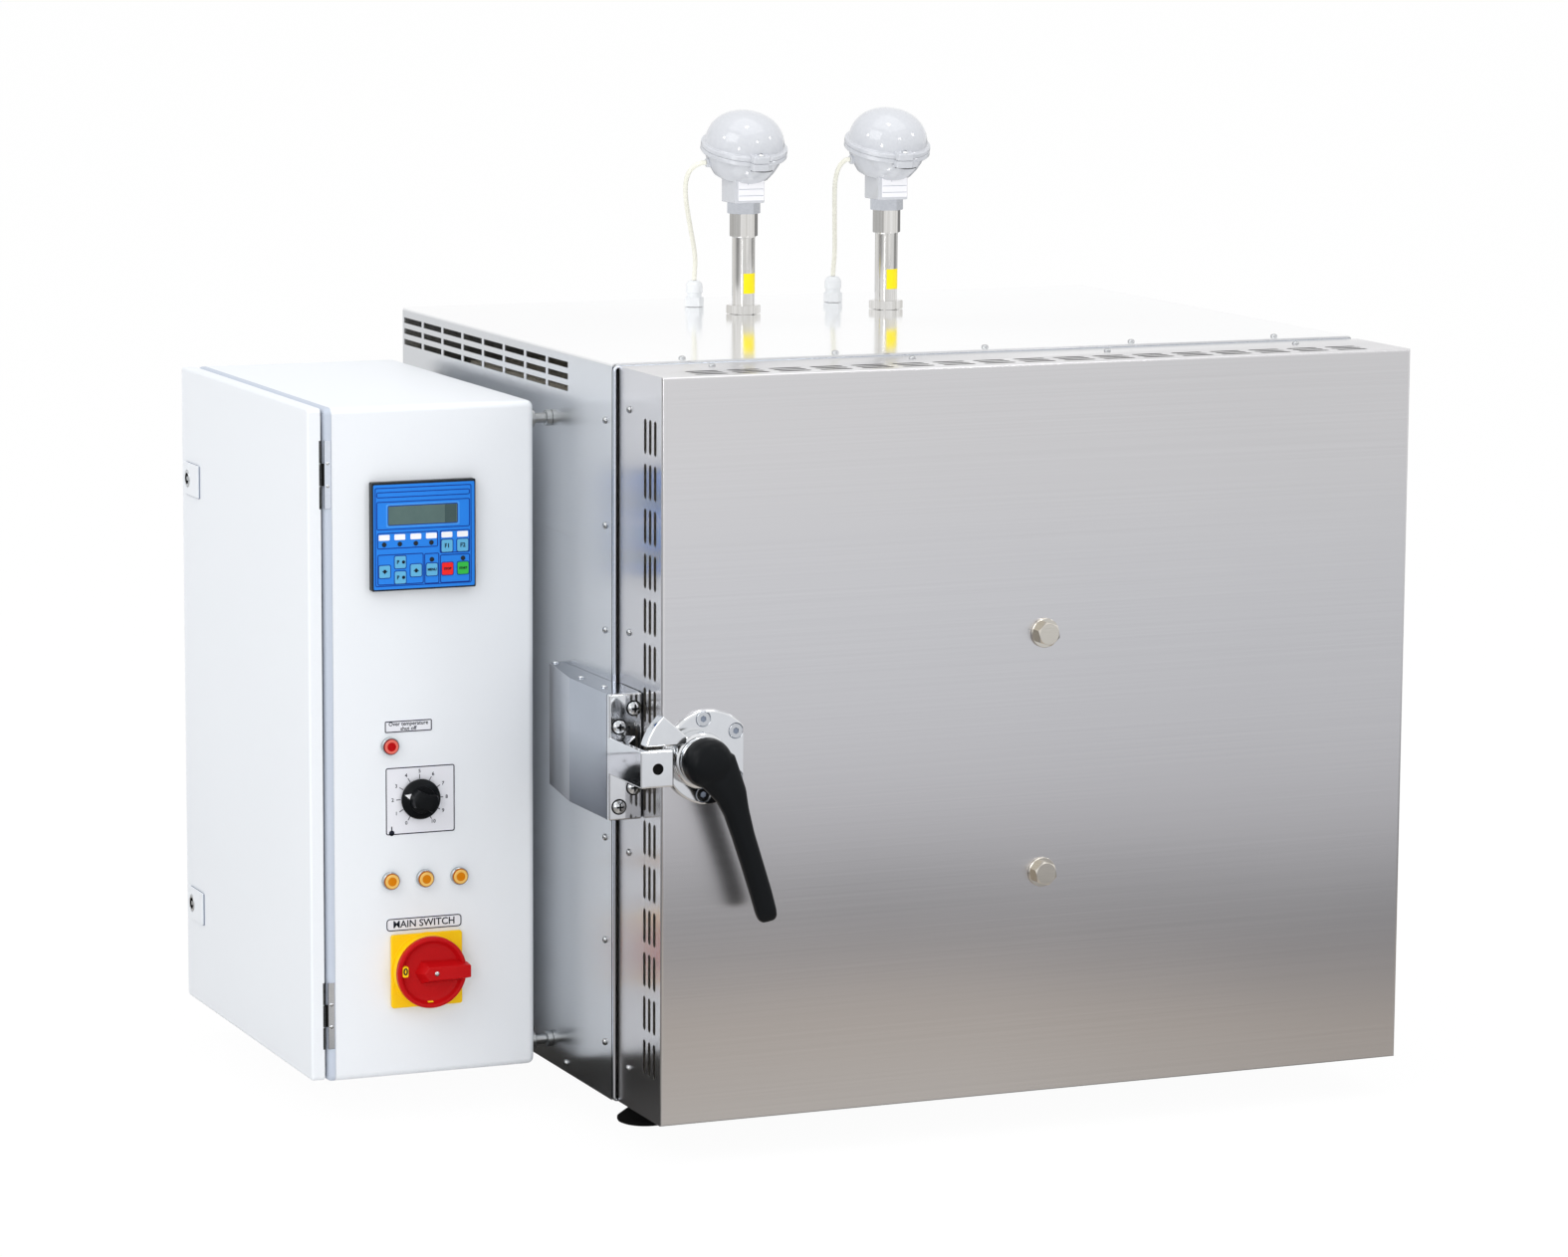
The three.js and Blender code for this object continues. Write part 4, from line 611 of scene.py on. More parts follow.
@dataclass(frozen=True)
class Finish:
    """One surface finish: its colours, gloss and grain.

    Attributes:
        name: what a maker would call it.
        dark: the colour in the grain's low places.
        light: the colour in its high places.
        rough: lowest and highest roughness.
        metal: 1 for metals.
        grain: the small-scale surface.
        stretch: how fine the grain is along X, Y and Z, per metre.
        depth: how strongly the grain shows as relief.
        smudge: how broad the patches are, per metre.
        shine: how much light the surface mirrors where it isn't metal.
        patches: how much of the colour's change is broad rather than fine.
        fade: the heights in metres between which the colour goes from dark to light; it paints light and
            shade by height.
        brush: how much more the surface scatters sideways than up and down.
        calm: the height in metres above which the surface is smoother, if there is one.
        cap: the height in metres above which the painted dark colour comes back, if there is one.
    """

    name: str
    dark: str
    light: str
    rough: Pair
    metal: float = 0.0
    grain: Grain = Grain.PEBBLED
    stretch: Point = (900.0, 900.0, 900.0)
    depth: float = 0.08
    smudge: float = 5.0
    shine: float = 0.5
    patches: float = 0.3
    fade: Pair = (0.0, 0.0)
    brush: float = 0.0
    calm: float = 0.0
    cap: float = 0.0

    def material(self) -> bpy.types.Material:
        """The finish as a material, made at its first use."""
        known = bpy.data.materials.get(self.name)
        if known:
            return known
        made = bpy.data.materials.new(self.name)
        made.use_nodes = True
        graph = Graph(made.node_tree)
        surface = graph.add("Group", node_tree=grain_group(self.grain))
        for name, value in (("Stretch", self.stretch), ("Depth", self.depth), ("Smudge", self.smudge),
                            ("Patches", self.patches)):
            surface.inputs[name].default_value = value
        shader = made.node_tree.nodes["Principled BSDF"].inputs
        shader["Metallic"].default_value = self.metal
        shader["Specular IOR Level"].default_value = self.shine
        share = self.share(graph, surface.outputs["Tone"])
        graph.feed(shader["Base Color"], graph.mix(share, tint(self.dark), tint(self.light), True))
        rough = graph.span(surface.outputs["Rough"], (*GRAIN_RANGE, *self.rough))
        graph.feed(shader["Roughness"], self.above(graph, rough, self.calm, CALM_SHARE))
        if self.brush > 0:
            shader["Anisotropic"].default_value = self.brush
            graph.feed(shader["Tangent"], graph.add("Tangent", direction_type="RADIAL", axis="Z").outputs[0])
        graph.feed(shader["Normal"], surface.outputs["Normal"])
        return made

    @staticmethod
    def height(graph: Graph, edges: Box) -> Socket:
        """The height in metres, mapped from one range to another."""
        split = graph.add("SeparateXYZ")
        graph.feed(split.inputs[0], graph.add("TexCoord").outputs["Object"])
        return graph.span(split.outputs["Z"], edges)

    def above(self, graph: Graph, value: Socket, edge: float, share: float) -> Socket:
        """The value, and only a share of it above an edge in metres, if there is an edge."""
        if edge <= 0:
            return value
        return graph.math("MULTIPLY", value, self.height(graph, (edge - STEP, edge, 1.0, share)))

    def share(self, graph: Graph, tone: Socket) -> Socket:
        """How much there is of the light colour: the grain's tone, or that and the painted light and shade by
        height.
        """
        if self.fade[1] <= self.fade[0]:
            return tone
        risen = graph.mix(TONE_SHARE, self.height(graph, (*self.fade, 0.0, 1.0)), tone)
        return self.above(graph, risen, self.cap, CAP_SHARE)


def pebbled(name: str, dark: str, light: str, rough: Pair, metal: float, fine: float, depth: float,
            smudge: float, **more: float | Pair) -> Finish:
    """A finish with an even, pebbled grain.

    Args:
        name: what a maker would call it.
        dark: the colour in the grain's low places.
        light: the colour in its high places.
        rough: lowest and highest roughness.
        metal: 1 for metals.
        fine: how fine the grain is, per metre.
        depth: how strongly the grain shows as relief.
        smudge: how broad the patches are, per metre.
        more: other values of the finish.

    Returns:
        The finish.
    """
    return Finish(name, dark, light, rough, metal, Grain.PEBBLED, (fine, fine, fine), depth, smudge, **more)


LINES = (1.5, 1.5, 900.0)
BRUSHED = Grain.BRUSHED
DOOR_STEEL = Finish("brushed_door_steel", "cdccce", "e0dfe1", (0.19, 0.26), 1.0, BRUSHED, LINES, 0.006, 2.2,
                    patches=0.45, brush=0.8)
# Painted light: the walls keep a grey steel colour, and the roof above the fade heights is painted near white
# for the bright sky it mirrors.
CASE_STEEL = Finish("case_steel_painted_bright_roof", "d3d6da", "ffffff", (0.2, 0.28), 1.0, BRUSHED, LINES, 0.003, 3.0,
                    fade=(0.682, 0.6845), brush=0.7, calm=0.684)
CHAMBER_STEEL = Finish("chamber_steel", "a9a8a5", "bfbebb", (0.28, 0.4), 1.0, BRUSHED, LINES, 0.03, 6.0)
CHROME = pebbled("polished_latch_metal", "dcdee1", "eceef0", (0.05, 0.11), 1.0, 60.0, 0.0, 12.0)
# Painted reflection: the hood is dark blue-grey below 0.3 m and fades to light steel by 0.365 m, for the
# shadowed floor under the cabinet that it mirrors.
HOOD_STEEL = pebbled("polished_hood_steel_painted_dark_reflection", "323c4c", "bfc5ce", (0.1, 0.17), 1.0, 40.0, 0.0, 14.0,
                     patches=0.9, fade=(0.3, 0.365), cap=0.4139)
SCREW_STEEL = pebbled("screw_steel", "a9abad", "c2c4c6", (0.18, 0.3), 1.0, 300.0, 0.02, 60.0)
BRIGHT_SCREW = pebbled("bright_screw", "c6c9cd", "dcdfe3", (0.12, 0.22), 1.0, 300.0, 0.01, 60.0)
ZINC = pebbled("zinc_plate", "a3a6a8", "b9bbbb", (0.28, 0.42), 1.0, 300.0, 0.03, 20.0)
HINGE_STEEL = pebbled("bright_hinge_steel", "d3dae6", "e8edf5", (0.12, 0.2), 1.0, 200.0, 0.01, 30.0)
# Partly painted reflection: the lengthwise streaks run from dark grey to white, and stand for drawing lines
# and for the bright and dark bands that the round tube mirrors.
STEM_STEEL = Finish("drawn_stem_steel_painted_streaks", "aaa69e", "ffffff", (0.08, 0.14), 1.0, BRUSHED, (210.0, 210.0, 2.0),
                    0.0, 30.0, patches=0.0)
BOLT_STEEL = Finish("bolt_steel", "c9c4ba", "e2ddd4", (0.12, 0.2), 1.0, BRUSHED, (40.0, 40.0, 900.0), 0.01,
                    30.0)
NUT_STEEL = pebbled("dark_nut_plate", "bdc1c9", "d9dce2", (0.12, 0.22), 1.0, 300.0, 0.01, 40.0)
DARK_STEEL = pebbled("oxidised_steel", "2c2d2f", "414346", (0.4, 0.55), 0.8, 500.0, 0.1, 15.0)
FIBRE = Finish("mineral_fibre", "d8d0bd", "efe9da", (0.9, 1.0), 0.0, Grain.PEBBLED, (260.0, 260.0, 60.0), 0.5,
               12.0)
# Painted shade: the cabinet paint darkened to blue-grey for the rounded return that lies in the gap behind
# the cover.
EDGE_SHADE_PAINT = pebbled("cabinet_edge_painted_shade", "bcc5d4", "c8d0dd", (0.42, 0.52), 0.0, 1100.0, 0.05, 4.0, shine=0.2)
CABINET_PAINT = pebbled("cabinet_powder_coat", "e9edf2", "eff2f6", (0.42, 0.52), 0.0, 1100.0, 0.05, 4.0,
                        shine=0.3)
HEAD_PAINT = pebbled("head_enamel", "c6c9cf", "d3d5da", (0.05, 0.08), 0.0, 220.0, 0.01, 14.0, shine=0.7)
BLACK_LEVER = pebbled("lever_moulding", "090b0e", "101316", (0.3, 0.42), 0.0, 1500.0, 0.1, 18.0, shine=0.13)
BLACK_CASE = pebbled("instrument_case", "14181c", "1e2327", (0.35, 0.48), 0.0, 1500.0, 0.1, 25.0, shine=0.25)
# Black rubber for the feet and black for the hinge barrels; also the painted shade in the strike's screw
# recesses, round its screws and in its hole, in the lock recesses, and the painted shadow line along the
# casing's front.
BLACK_RUBBER_AND_SHADE = pebbled("black_rubber_and_painted_shade", "0a0a0a", "141414", (0.75, 0.9), 0.0, 700.0, 0.2, 20.0, shine=0.15)
# Grey for painted shade, as the shadow line round each lock plate and in the latch screws' sockets; also the
# print of the sensor labels' ruled lines.
GREY_SHADE_AND_PRINT = pebbled("lock_gasket", "7e8798", "8c95a5", (0.6, 0.75), 0.0, 900.0, 0.05, 20.0, shine=0.2)
LOCK_PLATE = pebbled("lock_insert_plate", "bfc3c6", "d2d5d7", (0.25, 0.35), 0.6, 300.0, 0.02, 30.0)
NYLON = pebbled("gland_nylon", "e9ecef", "f3f5f7", (0.35, 0.48), 0.0, 800.0, 0.04, 30.0, shine=0.3)
SHEATH = pebbled("lead_sheath", "f0efe0", "f9f8ee", (0.5, 0.62), 0.0, 900.0, 0.03, 30.0, shine=0.3)
# Lamp lenses: each rim and middle finish is a darker copy of its lens colour, a painted shade on the domed
# lens.
AMBER = pebbled("amber_lens", "f08c00", "f79c06", (0.12, 0.2), 0.0, 120.0, 0.02, 60.0, shine=0.05)
AMBER_SHADED_MIDDLE = pebbled("amber_lens_painted_shade_middle", "cc7408", "dc850f", (0.2, 0.3), 0.0, 120.0, 0.02, 60.0, shine=0.05)
AMBER_SHADED_RIM = pebbled("amber_lens_painted_shade_rim", "a85808", "bd6a0b", (0.15, 0.25), 0.0, 120.0, 0.02, 60.0, shine=0.05)
RED_LENS = pebbled("red_lens", "b0080e", "c01015", (0.12, 0.2), 0.0, 120.0, 0.02, 60.0, shine=0.05)
RED_SHADED_MIDDLE = pebbled("red_lens_painted_shade_middle", "a80a10", "bc1216", (0.2, 0.3), 0.0, 120.0, 0.02, 60.0, shine=0.05)
RED_SHADED_RIM = pebbled("red_lens_painted_shade_rim", "6a0509", "7f080d", (0.15, 0.25), 0.0, 120.0, 0.02, 60.0, shine=0.05)
BEZEL = pebbled("lamp_bezel", "aab0b2", "c3c8ca", (0.15, 0.25), 0.7, 200.0, 0.02, 40.0)
YELLOW = pebbled("yellow_switch_plate", "f8c602", "fed20c", (0.4, 0.5), 0.0, 900.0, 0.04, 20.0, shine=0.2)
RED = pebbled("red_switch_moulding", "b0090f", "c81217", (0.26, 0.38), 0.0, 900.0, 0.05, 20.0, shine=0.12)
INK = pebbled("printed_ink", "161a28", "1e2231", (0.45, 0.55), 0.0, 1500.0, 0.01, 40.0, shine=0.15)
BLACK_INK = pebbled("black_ink", "0d1420", "141c2a", (0.4, 0.5), 0.0, 1500.0, 0.01, 40.0, shine=0.15)
LABEL = pebbled("label_film", "e6e7ee", "edeef4", (0.35, 0.45), 0.0, 1500.0, 0.02, 30.0, shine=0.3)
WHITE = pebbled("white_print", "f3f3f8", "fafafd", (0.4, 0.5), 0.0, 1500.0, 0.01, 30.0, shine=0.3)
YELLOW_TAG = pebbled("yellow_tag_film", "f6e000", "fdea10", (0.35, 0.45), 0.0, 1500.0, 0.01, 30.0, shine=0.3)
KEYPAD = pebbled("keypad_blue_film", "1e7ce2", "2888ec", (0.32, 0.42), 0.0, 1800.0, 0.04, 30.0, shine=0.2)
KEYPAD_PALE = pebbled("keypad_pale_frame", "3f93ec", "4a9df2", (0.32, 0.42), 0.0, 1800.0, 0.04, 30.0,
                      shine=0.2)
KEY_LINE = pebbled("keypad_blue_line", "0b2c86", "103494", (0.3, 0.4), 0.0, 1800.0, 0.02, 30.0, shine=0.15)
KEY = pebbled("keypad_key_film", "5aaad6", "68b8e0", (0.3, 0.4), 0.0, 1800.0, 0.04, 30.0, shine=0.2)
KEY_RED = pebbled("keypad_red_key", "ee1f1c", "f92d28", (0.3, 0.4), 0.0, 1800.0, 0.04, 30.0, shine=0.2)
KEY_GREEN = pebbled("keypad_green_key", "2eb040", "3abf4e", (0.3, 0.4), 0.0, 1800.0, 0.04, 30.0, shine=0.2)
DISPLAY = pebbled("display_glass", "48605f", "58716d", (0.1, 0.16), 0.0, 90.0, 0.01, 25.0, shine=0.4)
DISPLAY_DARK = pebbled("display_shade", "324a4b", "3d5554", (0.1, 0.16), 0.0, 90.0, 0.01, 25.0, shine=0.4)
LAMP_DARK = pebbled("unlit_lamp", "101820", "1a232e", (0.2, 0.3), 0.0, 900.0, 0.02, 30.0, shine=0.3)

BY_SLOT = {"stainless": CHAMBER_STEEL, "bright_sheet": CASE_STEEL, "polished": CHROME, "zinc": ZINC,
           "dark_steel": DARK_STEEL, "fibre": FIBRE, "cabinet_paint": CABINET_PAINT, "head_paint": HEAD_PAINT,
           "black_plastic": BLACK_CASE, "rubber": BLACK_RUBBER_AND_SHADE, "white_plastic": NYLON, "cable_sheath": SHEATH,
           "amber_lens": AMBER, "red_lens": RED_LENS, "yellow_plastic": YELLOW, "red_plastic": RED}


@dataclass
class Piece:
    """A finished piece and what it rides on.

    Attributes:
        name: its name in the scene.
        obj: its object.
        body: the body it moves with.
        slot: the record's material slot nearest to its finish; not used.
        finish: what it is made of.
        stands_for: nodes that it replaces.
        angle: how sharp an edge stays sharp, in degrees.
    """

    name: str
    obj: Solid
    body: str
    slot: str
    finish: Finish
    stands_for: tuple[str, ...] = ()
    angle: float = 32.0

    def deliver(self) -> None:
        """Names, dresses and hangs the piece on its body."""
        self.obj.name = self.name
        self.obj.data.name = self.name
        smooth(self.obj, self.angle)
        apply_modifier(self.obj, "WEIGHTED_NORMAL", keep_sharp=True, weight=80)
        self.obj.data.materials.clear()
        self.obj.data.materials.append(self.finish.material())
        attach(self.obj, self.body)
        if self.stands_for:
            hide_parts(*self.stands_for)
        LOG.info("%s rides on %s, %d faces", self.name, self.body, len(self.obj.data.polygons))


@dataclass(frozen=True)
class PanScrew:
    """A small domed screw with a crossed recess."""

    radius: float = 3.2
    height: float = 2.2

    def model(self) -> Solid:
        """One screw about its own Z axis, with its seat at Z 0."""
        r, h = self.radius, self.height
        head = turned([(r * 0.94, 0), (r, h * 0.2), (r * 0.93, h * 0.55), (r * 0.7, h * 0.85), (r * 0.4, h)],
                      20)
        for long, wide in ((1.1, 0.26), (0.26, 1.1)):
            carve(head, local(slab(r * long, r * wide, h), (0, 0, h * 0.45)))
        return head

    def recess(self) -> Solid:
        """A dark floor in the screw's crossed recess: painted shade."""
        r, h = self.radius, self.height
        return join([local(slab(r * long, r * wide, 0.3), (0, 0, h * 0.45 - 0.1))
                     for long, wide in ((1.08, 0.25), (0.25, 1.08))])


@dataclass
class Casing:
    """The oven's outer sheet, its feet and its screws."""

    width: float = 722.0
    depth: float = 555.0
    base: float = 35.0
    top: float = 685.0
    sheet: float = 1.2
    bend: float = 3.2
    slot_length: float = 50.0
    slot_height: float = 5.3
    slot_front: float = 108.0
    slot_pitch: float = 56.0
    slot_drop: float = 12.0
    row_pitch: float = 10.3
    foot_inset: float = 52.0

    def wrap(self) -> Solid:
        """Left wall, roof and right wall as one bent sheet with its slots."""
        obj = brick((0, 0, self.base), (self.width, self.depth, self.top))
        edit(obj, "FACE")
        remove_faces(obj, (0, -1, 0), (0, 1, 0), (0, 0, -1))
        high = self.top * MM - NEAR
        select_edges(obj, lambda a, b: a.z > high and b.z > high and abs(a.x - b.x) < NEAR)
        bpy.ops.mesh.bevel(offset=self.bend * MM, segments=8, affect="EDGES")
        close_edit()
        thicken(obj, self.sheet)
        cutter = brick((-6, self.slot_front, self.top - self.slot_drop - self.slot_height / 2),
                       (self.width + 6, self.slot_front + self.slot_length,
                        self.top - self.slot_drop + self.slot_height / 2))
        array(cutter, 8, (0, self.slot_pitch, 0))
        array(cutter, 3, (0, 0, -self.row_pitch))
        return carve(obj, cutter)

    def bead(self, front: float, rear: float, out: float, wide: float, radius: float) -> Solid:
        """A narrow frame along the casing's front edge, between two depths."""
        low, high = self.base - out, self.top - 2.6 + out
        obj = ring(self.width + 2 * out, high - low, wide, rear - front, 4.0)
        soften(obj, radius, 4, 60)
        return settle(obj, (self.width / 2, rear, (low + high) / 2), Facing.FRONT)

    def foot(self) -> Solid:
        """A levelling foot: a ribbed pad that narrows to its stud."""
        return turned([(22.5, 0), (24.4, 0.8), (25, 2), (25, 4), (23.6, 5.2), (12.6, 13.6), (12, 15), (6, 15),
                       (6, 34.7)], 40)

    def build(self) -> list[Piece]:
        """All the casing's pieces."""
        inset = self.foot_inset
        names = ("foot_front_left", "foot_front_right", "foot_rear_left", "foot_rear_right")
        spots = [(inset, inset), (self.width - inset, inset), (inset, self.depth - inset),
                 (self.width - inset, self.depth - inset)]
        screws = [((0, 16, 634 - 91.67 * n), Facing.LEFT) for n in range(7)]
        screws += [((0, 112.5, 43.6), Facing.LEFT), ((0, 330, 43.6), Facing.LEFT),
                   ((0, 500, 43.6), Facing.LEFT)]
        screws += [((self.width, y, z), Facing.RIGHT) for (_, y, z), _ in screws]
        screws += [((x, 18, self.top), Facing.UP) for x in (72, 217, 362, 507, 652)]
        screws += [((x, self.depth - 2.25, z), Facing.REAR) for x in (20, 248, 474, 702) for z in (52, 360,
                                                                                                   668)
                   if not (x in (248, 474) and z == 360)]
        pieces = [Piece("casing_skin", self.wrap(), "oven", "bright_sheet", CASE_STEEL, ("casing_wrap",), 40),
                  Piece("casing_screws", copies(PanScrew().model(), screws), "oven", "zinc", SCREW_STEEL),
                  Piece("casing_front_bead", self.bead(-5.3, -1.5, 0.5, 3.0, 1.3), "oven", "polished",
                        HINGE_STEEL),
                  # A thin dark strip between the casing's edge and the bead: a painted shadow line.
                  Piece("casing_front_seam", self.bead(-1.7, -0.2, 0.3, 2.6, 0.1), "oven", "rubber", BLACK_RUBBER_AND_SHADE)]
        for name, (x, y) in zip(names, spots):
            pieces.append(Piece(f"{name}_pad", settle(self.foot(), (x, y, 0)), "oven", "rubber", BLACK_RUBBER_AND_SHADE,
                                (name,)))
        return pieces


@dataclass
class Door:
    """The door's cover with its rounded slots, screws and two bolts."""

    left: float = 4.0
    right: float = 724.0
    rear: float = -7.0
    front: float = -107.0
    base: float = 35.0
    top: float = 683.0
    sheet: float = 1.3
    bend: float = 2.6
    slot_length: float = 30.0
    slot_width: float = 6.0
    slot_pitch: float = 11.5
    group_pitch: float = 38.6
    first_slot: float = 16.0

    def cover(self) -> Solid:
        """The deep pan of bent sheet."""
        obj = brick((self.left, self.front, self.base), (self.right, self.rear, self.top))
        edit(obj, "FACE")
        remove_faces(obj, (0, 1, 0))
        limit = place(0, self.front, 0).y + NEAR
        select_edges(obj, lambda a, b: a.y < limit and b.y < limit)
        bpy.ops.mesh.bevel(offset=self.bend * MM, segments=7, affect="EDGES")
        close_edit()
        return thicken(obj, self.sheet)

    def side_tool(self) -> Solid:
        """The cutter for the slots in both upright edges."""
        tool = slab(self.slot_width, self.slot_length, self.right - self.left + 20,
                    self.slot_width / 2 - 0.01, 5)
        y = self.front + self.first_slot
        z = (self.base + self.top) / 2 - 7 * self.group_pitch
        settle(tool, (self.right + 10, y, z), Facing.LEFT)
        array(tool, 3, (0, self.slot_pitch, 0))
        return array(tool, 15, (0, 0, self.group_pitch))

    def end_tool(self) -> Solid:
        """The cutter for the slots in the upper and lower edges."""
        tool = slab(self.slot_length, self.slot_width, self.top - self.base + 20, self.slot_width / 2 - 0.01,
                    5)
        y = self.front + self.first_slot
        x = (self.left + self.right) / 2 - 8 * self.group_pitch
        settle(tool, (x, y, self.base - 10))
        array(tool, 3, (0, self.slot_pitch, 0))
        return array(tool, 17, (self.group_pitch, 0, 0))

    def bolt(self) -> Solid:
        """A hexagon head with a domed top, a flange and a washer."""
        head = turned([(10.9, 2.2), (10.9, 10.4)], 6)
        dome = turned([(14, 1), (14, 7.6), (9.2, 10.4)], 40)
        carve(head, dome, Cut.KEEP)
        washer = turned([(12.6, 0), (13, 0.5), (13, 1.9), (12.6, 2.4), (8.6, 2.4)], 48)
        stub = turned([(6, -6), (6, 2)], 24)
        return join([head, washer, stub])

    def build(self) -> list[Piece]:
        """All the door's pieces."""
        cover = carve(carve(self.cover(), self.side_tool()), self.end_tool())
        spots = [((self.left, -31, z), Facing.LEFT) for z in (648, 455, 262, 70)]
        spots += [((self.right, -31, z), Facing.RIGHT) for z in (648, 455, 262, 70)]
        spots += [((x, -31, self.top), Facing.UP) for x in (80, 269, 459, 648)]
        spots += [((x, -31, self.base), Facing.DOWN) for x in (80, 269, 459, 648)]
        pieces = [Piece("door_skin", cover, "door", "bright_sheet", DOOR_STEEL, ("door_cover",), 40),
                  Piece("door_screws", copies(PanScrew().model(), spots), "door", "zinc", SCREW_STEEL)]
        for name, z in (("door_bolt_upper", 446), ("door_bolt_lower", 233)):
            pieces.append(Piece(f"{name}_head",
                                settle(self.bolt(), (364, self.front - 0.3, z), Facing.FRONT, 12),
                                "door", "polished", BOLT_STEEL, (name,), 25))
        return pieces


@dataclass
class Latch:
    """Plate, cam, ferrule and lever on the door, and the strike on the casing."""

    axis: Pair = (34.0, 356.5)
    plate_centre: Pair = (46.0, 356.5)
    plate_radius: float = 41.0
    plate_cut: float = 31.0
    plate_rear: float = -107.3
    screw_spots: tuple[Pair, ...] = ((40.3, 390.0), (70.4, 378.0), (70.4, 337.4), (40.4, 324.4))
    cam_rear: float = -112.6
    cam_radius: float = 54.0
    collar_radius: float = 24.5
    strike_out: float = 27.0
    strike_low: float = 297.5
    strike_high: float = 407.5
    lever_reach: float = 54.0
    lever_drop: float = 141.0
    reach_shares: tuple[float, ...] = (0.02, 0.05, 0.21, 0.36, 0.445, 0.565, 0.72, 0.87, 0.96, 0.99, 1)
    drop_shares: tuple[float, ...] = (-0.05, 0.01, 0.1, 0.2, 0.3, 0.45, 0.63, 0.81, 0.93, 0.97, 0.99)
    widths: tuple[float, ...] = (32, 42, 34.5, 27.5, 22, 19.4, 18.8, 18.6, 18.2, 16.4, 12)
    depths: tuple[float, ...] = (12, 15, 16.5, 17, 16.6, 16.2, 15.8, 15.4, 14.8, 13.2, 9)

    def plate(self) -> Solid:
        """The round plate, flat on its right side, with four screw seats."""
        r = self.plate_radius
        obj = turned([(r - 0.3, 0), (r, 0.4), (r, 3.2), (r - 0.8, 4.4), (r - 2.2, 5.0)], 96)
        settle(obj, (self.plate_centre[0], self.plate_rear, self.plate_centre[1]), Facing.FRONT)
        x, z = self.plate_centre
        side = brick((x + self.plate_cut, -130, z - 60), (x + 60, -90, z + 60))
        carve(obj, side)
        for sx, sz in self.screw_spots:
            seat = turned([(4.6, 1.8), (7.1, 4.6), (7.1, 7)], 40)
            carve(obj, settle(seat, (sx, self.plate_rear, sz), Facing.FRONT))
        return obj

    def socket_screw(self) -> Solid:
        """A countersunk screw with a six-sided socket."""
        head = turned([(4.0, 1.6), (6.2, 4.2), (6.2, 4.5), (5.9, 4.8)], 40)
        tool = turned([(2.9, 2.3), (2.9, 6)], 6)
        return carve(head, tool)

    def socket_floor(self) -> Solid:
        """A dark floor in the socket and a dark line round the screw: painted shade."""
        return join([turned([(2.8, 2.2), (2.8, 2.5)], 6), turned([(6.6, 3.6), (6.6, 3.95)], 40)])

    def cam(self) -> Solid:
        """The collar and its sector, which reaches behind the keeper's nose."""
        low = 180 - math.degrees(math.asin(14.5 / self.cam_radius))
        points: list[Pair] = [(-14.0, 14.5), (-14.0, 22.0)]
        for i in range(13):
            angle = math.radians(131 + (low - 131) * i / 12)
            points.append((math.cos(angle) * self.cam_radius, math.sin(angle) * self.cam_radius))
        sector = soften(cut_out(points, 14), 1.5, 3, 50)
        r = self.collar_radius
        collar = turned([(r, 0), (r, 11.2), (r - 0.9, 13.0), (r - 2.8, 14), (16, 14)], 96)
        return settle(join([collar, sector]), (self.axis[0], self.cam_rear, self.axis[1]), Facing.FRONT)

    def ferrule(self) -> Solid:
        """The bright neck and ring below the lever's boss."""
        obj = turned([(17, 0), (17, 1.2), (20.0, 1.8), (20.8, 2.6), (20.8, 4.0), (20, 4.8), (17, 4.9)], 96)
        return settle(obj, (self.axis[0], -126.9, self.axis[1]), Facing.FRONT)

    def lever(self) -> Solid:
        """The boss and the swept arm, blended into one smooth moulding."""
        begin()
        bpy.ops.mesh.primitive_plane_add(size=1)
        arm = bpy.context.object
        edit(arm)
        bpy.ops.mesh.bevel(offset=0.36, segments=7, affect="VERTICES")
        select_all()
        wide, deep = self.widths[0], self.depths[0]
        bpy.ops.transform.resize(value=(wide * MM, deep * MM, 1))
        path = [(reach * self.lever_reach, -drop * self.lever_drop)
                for reach, drop in zip(self.reach_shares, self.drop_shares)]
        bpy.ops.transform.translate(value=(path[0][0] * MM, 0, path[0][1] * MM))
        last = len(path) - 1
        lean = 0.0
        for i in range(1, last + 1):
            (x, z), (nx, nz) = path[i - 1], path[i]
            extrude(nx - x, 0, nz - z)
            centre = (nx * MM, 0, nz * MM)
            after = path[min(i + 1, last)]
            aim = math.atan2(after[0] - x, z - after[1])
            self.lean(lean, centre)
            share = (self.widths[i] / wide, self.depths[i] / deep, 1)
            bpy.ops.transform.resize(value=share, center_override=centre)
            self.lean(-aim, centre)
            lean, wide, deep = aim, self.widths[i], self.depths[i]
        close_edit()
        settle(arm, (self.axis[0], -143.0, self.axis[1]))
        boss = turned([(20.6, 0), (21.6, 1.0), (21.7, 7.5), (20.8, 12.8), (18.6, 17), (15, 19.6), (9, 21.2),
                       (2, 21.7)], 72)
        settle(boss, (self.axis[0], -131.2, self.axis[1]), Facing.FRONT)
        carve(boss, arm, Cut.ADD)
        apply_modifier(boss, "REMESH", mode="VOXEL", voxel_size=0.8 * MM, use_smooth_shade=True)
        apply_modifier(boss, "SMOOTH", factor=0.6, iterations=20)
        return boss

    @staticmethod
    def lean(angle: float, centre: Point) -> None:
        """Tilts the selected ring about Y by an angle in radians; this operator turns the other way."""
        bpy.ops.transform.rotate(value=-angle, orient_axis="Y", center_override=centre)

